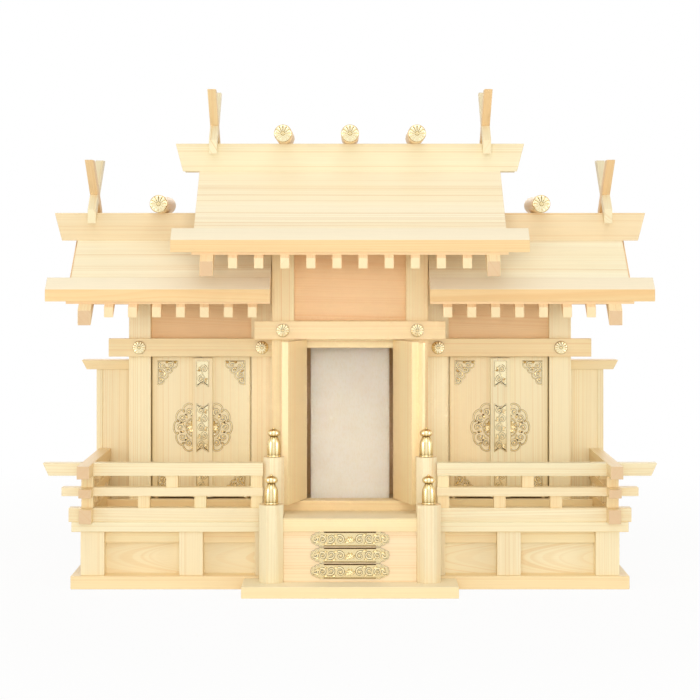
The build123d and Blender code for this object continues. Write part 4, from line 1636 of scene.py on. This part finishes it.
@dataclass(frozen=True)
class GableRoofs:
    """Boards, eaves, soffits and rafters of the main roof and the two side roofs."""

    edge: float = 0.35

    def build(self) -> list[bpy.types.Object]:
        """Make the roofs.

        Returns:
            The pieces.
        """
        boards = [
            Timber(
                f"{side}_roof_boards",
                Cut.EDGE,
                finish=ROOFING,
                edge=0.2,
                tone=0.03,
                warm_tone_and_painted_shade=0.2,
                side_warm_tone_and_painted_shade=-0.2,
                painted_top_light=0.25,
            ).build()
            for side in ("front", "back")
        ]
        return [
            *boards,
            # The eaves' upper faces get strong painted top light, while their fronts keep the
            # heartwood colour.
            Timber("eave_boards", finish=HEART, edge=self.edge, warm_tone_and_painted_shade=0.0, painted_top_light=0.8).build(),
            Timber("front_soffits", finish=PAINTED_EAVE_SHADE, edge=0.15).build(),
            Timber("back_soffits", finish=PAINTED_EAVE_SHADE, edge=0.15).build(),
            Timber("small_rafters", finish=PAINTED_EAVE_SHADE, edge=0.25).build(),
            Timber("front_end_rafters", finish=ROSY_ENDS, edge=self.edge, warm_tone_and_painted_shade=0.3).build(),
            Timber("back_end_rafters", finish=ROSY_ENDS, edge=self.edge, warm_tone_and_painted_shade=0.3).build(),
            Timber(
                "ridge_beams",
                finish=PALE,
                edge=self.edge,
                tone=-0.01,
                warm_tone_and_painted_shade=0.1,
                side_warm_tone_and_painted_shade=0.2,
            ).build(),
        ]


@dataclass(frozen=True)
class RidgeOrnaments:
    """Round billets with rosettes, and crossed horns, on the ridges."""

    edge: float = 0.3
    rosette: Rosette = Rosette(radius=7.1)

    def build(self) -> list[bpy.types.Object]:
        """Make the billets, their rosettes and the horns.

        Returns:
            The pieces.
        """
        rosettes = self.rosette.press_all("billet_rosettes")
        return [
            Timber("ridge_billets", edge=self.edge, tone=0.06, warm_tone_and_painted_shade=0.4).build(),
            rosettes,
            # The horns that lean back show lit upper faces in pale wood, while those that lean
            # forward show their under faces with a strong warm tint of painted shade.
            Timber("back_leaning_horns", finish=PALE, edge=self.edge).build(),
            Timber("front_leaning_horns", edge=self.edge, warm_tone_and_painted_shade=0.45).build(),
        ]


@dataclass(frozen=True)
class Talisman:
    """Folded paper talisman that leans back inside the middle bay, left bare."""

    width: float = 69.0
    height: float = 242.0
    thickness: float = 3.0
    foot_y: float = 62.0
    foot_z: float = 53.6
    lean: float = 2.5
    fold: float = 0.9
    ripple: float = 0.22
    columns: int = 24
    rows: int = 40

    def build(self) -> list[bpy.types.Object]:
        """Fold the sheet round its core.

        Returns:
            The one piece.
        """
        mesh = bmesh.new()
        half, deep, fold = self.width / 2, self.thickness, self.fold
        section = [(-half, deep - fold), (-half, fold), (-half + fold * 0.3, fold * 0.3)]
        for step in range(self.columns + 1):
            x = -half + fold + (self.width - 2 * fold) * step / self.columns
            section.append((x, self.ripple * math.sin(x * 0.19) ** 2))
        section += [(half - fold * 0.3, fold * 0.3), (half, fold), (half, deep - fold)]
        section += [(half - fold, deep), (-half + fold, deep)]
        rings = []
        for row in range(self.rows + 1):
            up = self.height * row / self.rows
            shift = up * math.tan(math.radians(self.lean))
            sway = self.ripple * math.sin(up * 0.045) ** 2
            ring = []
            for x, y in section:
                depth = self.foot_y + y + (sway if y < deep / 2 else 0.0) + shift
                ring.append(mesh.verts.new((x * MM, depth * MM, (self.foot_z + up) * MM)))
            rings.append(ring)
        join_rings(mesh, rings)
        mesh.faces.new(list(reversed(rings[0])))
        mesh.faces.new(rings[-1])
        bmesh.ops.recalc_face_normals(mesh, faces=mesh.faces)
        paper = PAPER.material()
        return [finish_piece("talisman_folded", mesh, paper, "shrine", ("talisman",))]


@dataclass(frozen=True)
class Lamp:
    """One soft lamp of the studio."""

    name: str
    place: tuple[float, float, float]
    target: tuple[float, float, float]
    width: float
    height: float
    power: float
    spread: float = 180.0
    glint: bool = True
    colour: tuple[float, float, float] = (0.965, 0.985, 1.0)

    def hang(self) -> None:
        """Put the lamp in the scene, turned to its target."""
        data = bpy.data.lights.new(self.name, "AREA")
        data.shape = "RECTANGLE"
        data.size, data.size_y = self.width, self.height
        data.energy = self.power
        data.color = self.colour
        data.spread = math.radians(self.spread)
        lamp = bpy.data.objects.new(self.name, data)
        lamp.location = self.place
        lamp.visible_glossy = self.glint
        aim = Vector(self.target) - Vector(self.place)
        lamp.rotation_euler = aim.to_track_quat("-Z", "Y").to_euler()
        bpy.context.scene.collection.objects.link(lamp)


@dataclass(frozen=True)
class Studio:
    """Camera, lamps, pale floor and white background."""

    camera_place: tuple[float, float, float] = (0.0, -1.573, 0.2795)
    lens: float = 96.17
    sensor: float = 36.0
    shift_y: float = -109 / 700
    ambient: Colour = (0.47, 0.44, 0.385, 1.0)
    floor_size: float = 6.0
    clear_floor: tuple[float, float] = (0.35, 0.8)
    lamps: tuple[Lamp, ...] = (
        Lamp("front_lamp", (0.0, -2.15, 0.5), (0.0, 0.0, 0.18), 1.0, 0.7, 13.1, glint=False),
        Lamp("left_lamp", (-1.8, -1.1, 0.5), (0.0, 0.0, 0.18), 1.0, 1.0, 6.6),
        Lamp("right_lamp", (1.8, -1.1, 0.5), (0.0, 0.0, 0.18), 1.0, 1.0, 6.3),
        Lamp("back_lamp", (0.0, 1.9, 1.0), (0.0, 0.0, 0.2), 1.6, 0.8, 9.0),
        Lamp("top_lamp", (-0.1, -1.2, 1.9), (0.0, 0.0, 0.2), 2.0, 1.4, 10.8),
        Lamp(
            "door_lamp", (0.0, -1.7, 0.3), (0.0, 0.06, 0.13), 0.05, 0.1, 0.016, 8.0, glint=False
        ),
    )

    def camera(self) -> None:
        """Set up the camera level, as the photograph was taken."""
        data = bpy.data.cameras.new("photograph_camera")
        data.lens = self.lens
        data.sensor_width = self.sensor
        data.shift_y = self.shift_y
        camera = bpy.data.objects.new("photograph_camera", data)
        camera.location = self.camera_place
        camera.rotation_euler = (math.pi / 2, 0.0, 0.0)
        bpy.context.scene.collection.objects.link(camera)
        bpy.context.scene.camera = camera

    def background(self) -> None:
        """Show the world white to the camera and in metal, and light the room softly."""
        world = bpy.data.worlds.new("studio_white")
        world.use_nodes = True
        bpy.context.scene.world = world
        nodes, links = world.node_tree.nodes, world.node_tree.links
        path = nodes.new("ShaderNodeLightPath")
        seen = nodes.new("ShaderNodeMath")
        seen.operation = "MAXIMUM"
        links.new(path.outputs["Is Camera Ray"], seen.inputs[0])
        links.new(path.outputs["Is Glossy Ray"], seen.inputs[1])
        choice = nodes.new("ShaderNodeMix")
        choice.data_type = "RGBA"
        links.new(seen.outputs[0], choice.inputs["Factor"])
        choice.inputs["A"].default_value = self.ambient
        choice.inputs["B"].default_value = (1.0, 1.0, 1.0, 1.0)
        sky = nodes["Background"]
        sky.inputs["Strength"].default_value = 1.0
        links.new(choice.outputs["Result"], sky.inputs["Color"])

    def floor(self) -> None:
        """Lay a pale floor that looks white to the camera and keeps a faint shadow."""
        mesh = bmesh.new()
        bmesh.ops.create_grid(mesh, x_segments=8, y_segments=8, size=self.floor_size / 2)
        data = bpy.data.meshes.new("studio_floor")
        mesh.to_mesh(data)
        mesh.free()
        ground = Recipe("studio_floor_pale")
        place = ground.node("ShaderNodeTexCoord").outputs["Object"]
        shade = ground.blend(ground.noise(place, 3.0), paint(243, 242, 240), paint(248, 247, 246))
        diffuse = ground.node("ShaderNodeBsdfDiffuse", {"Color": shade})
        glow = ground.node("ShaderNodeEmission", {"Color": (1, 1, 1, 1), "Strength": 1.0})
        path = ground.node("ShaderNodeLightPath")
        seen = ground.math("MAXIMUM", path.outputs["Is Camera Ray"], path.outputs["Is Glossy Ray"])
        away = ground.node("ShaderNodeVectorMath", {0: place}, operation="LENGTH")
        near, far = self.clear_floor
        white = ground.ramp(away.outputs["Value"], ((near, 0.93), (far, 1.0)))
        share = ground.math("MULTIPLY", seen, white)
        mixed = ground.node(
            "ShaderNodeMixShader", {0: share, 1: diffuse.outputs[0], 2: glow.outputs[0]}
        )
        output = ground.tree.nodes["Material Output"]
        ground.tree.links.new(mixed.outputs[0], output.inputs["Surface"])
        ground.tree.nodes.remove(ground.shader)
        data.materials.append(ground.material)
        floor = bpy.data.objects.new("studio_floor", data)
        bpy.context.scene.collection.objects.link(floor)

    def build(self) -> None:
        """Set up the whole studio."""
        bpy.context.scene.view_settings.view_transform = "Standard"
        self.camera()
        self.background()
        self.floor()
        for lamp in self.lamps:
            lamp.hang()


def main() -> None:
    """Build the studio and the shrine from the foot up, and report each piece."""
    logging.basicConfig(level=logging.INFO, format="%(name)s: %(message)s")
    Studio().build()
    assemblies = (
        Plinth(),
        BoxedBase(),
        Stair(),
        NewelPosts(),
        Railing(),
        WingScreens(),
        ShrineBody(),
        DoorPair("middle", 110.0, STRAIGHT, 0.11, leaf_width=39.7),
        DoorPair("left", 0.0),
        DoorPair("right", 0.0),
        GableRoofs(),
        RidgeOrnaments(),
        Talisman(),
    )
    for assembly in assemblies:
        for piece in assembly.build():
            triangles = sum(len(face.vertices) - 2 for face in piece.data.polygons)
            log.info("%s: %s, %d triangles", type(assembly).__name__, piece.name, triangles)


if __name__ == "__main__":
    main()
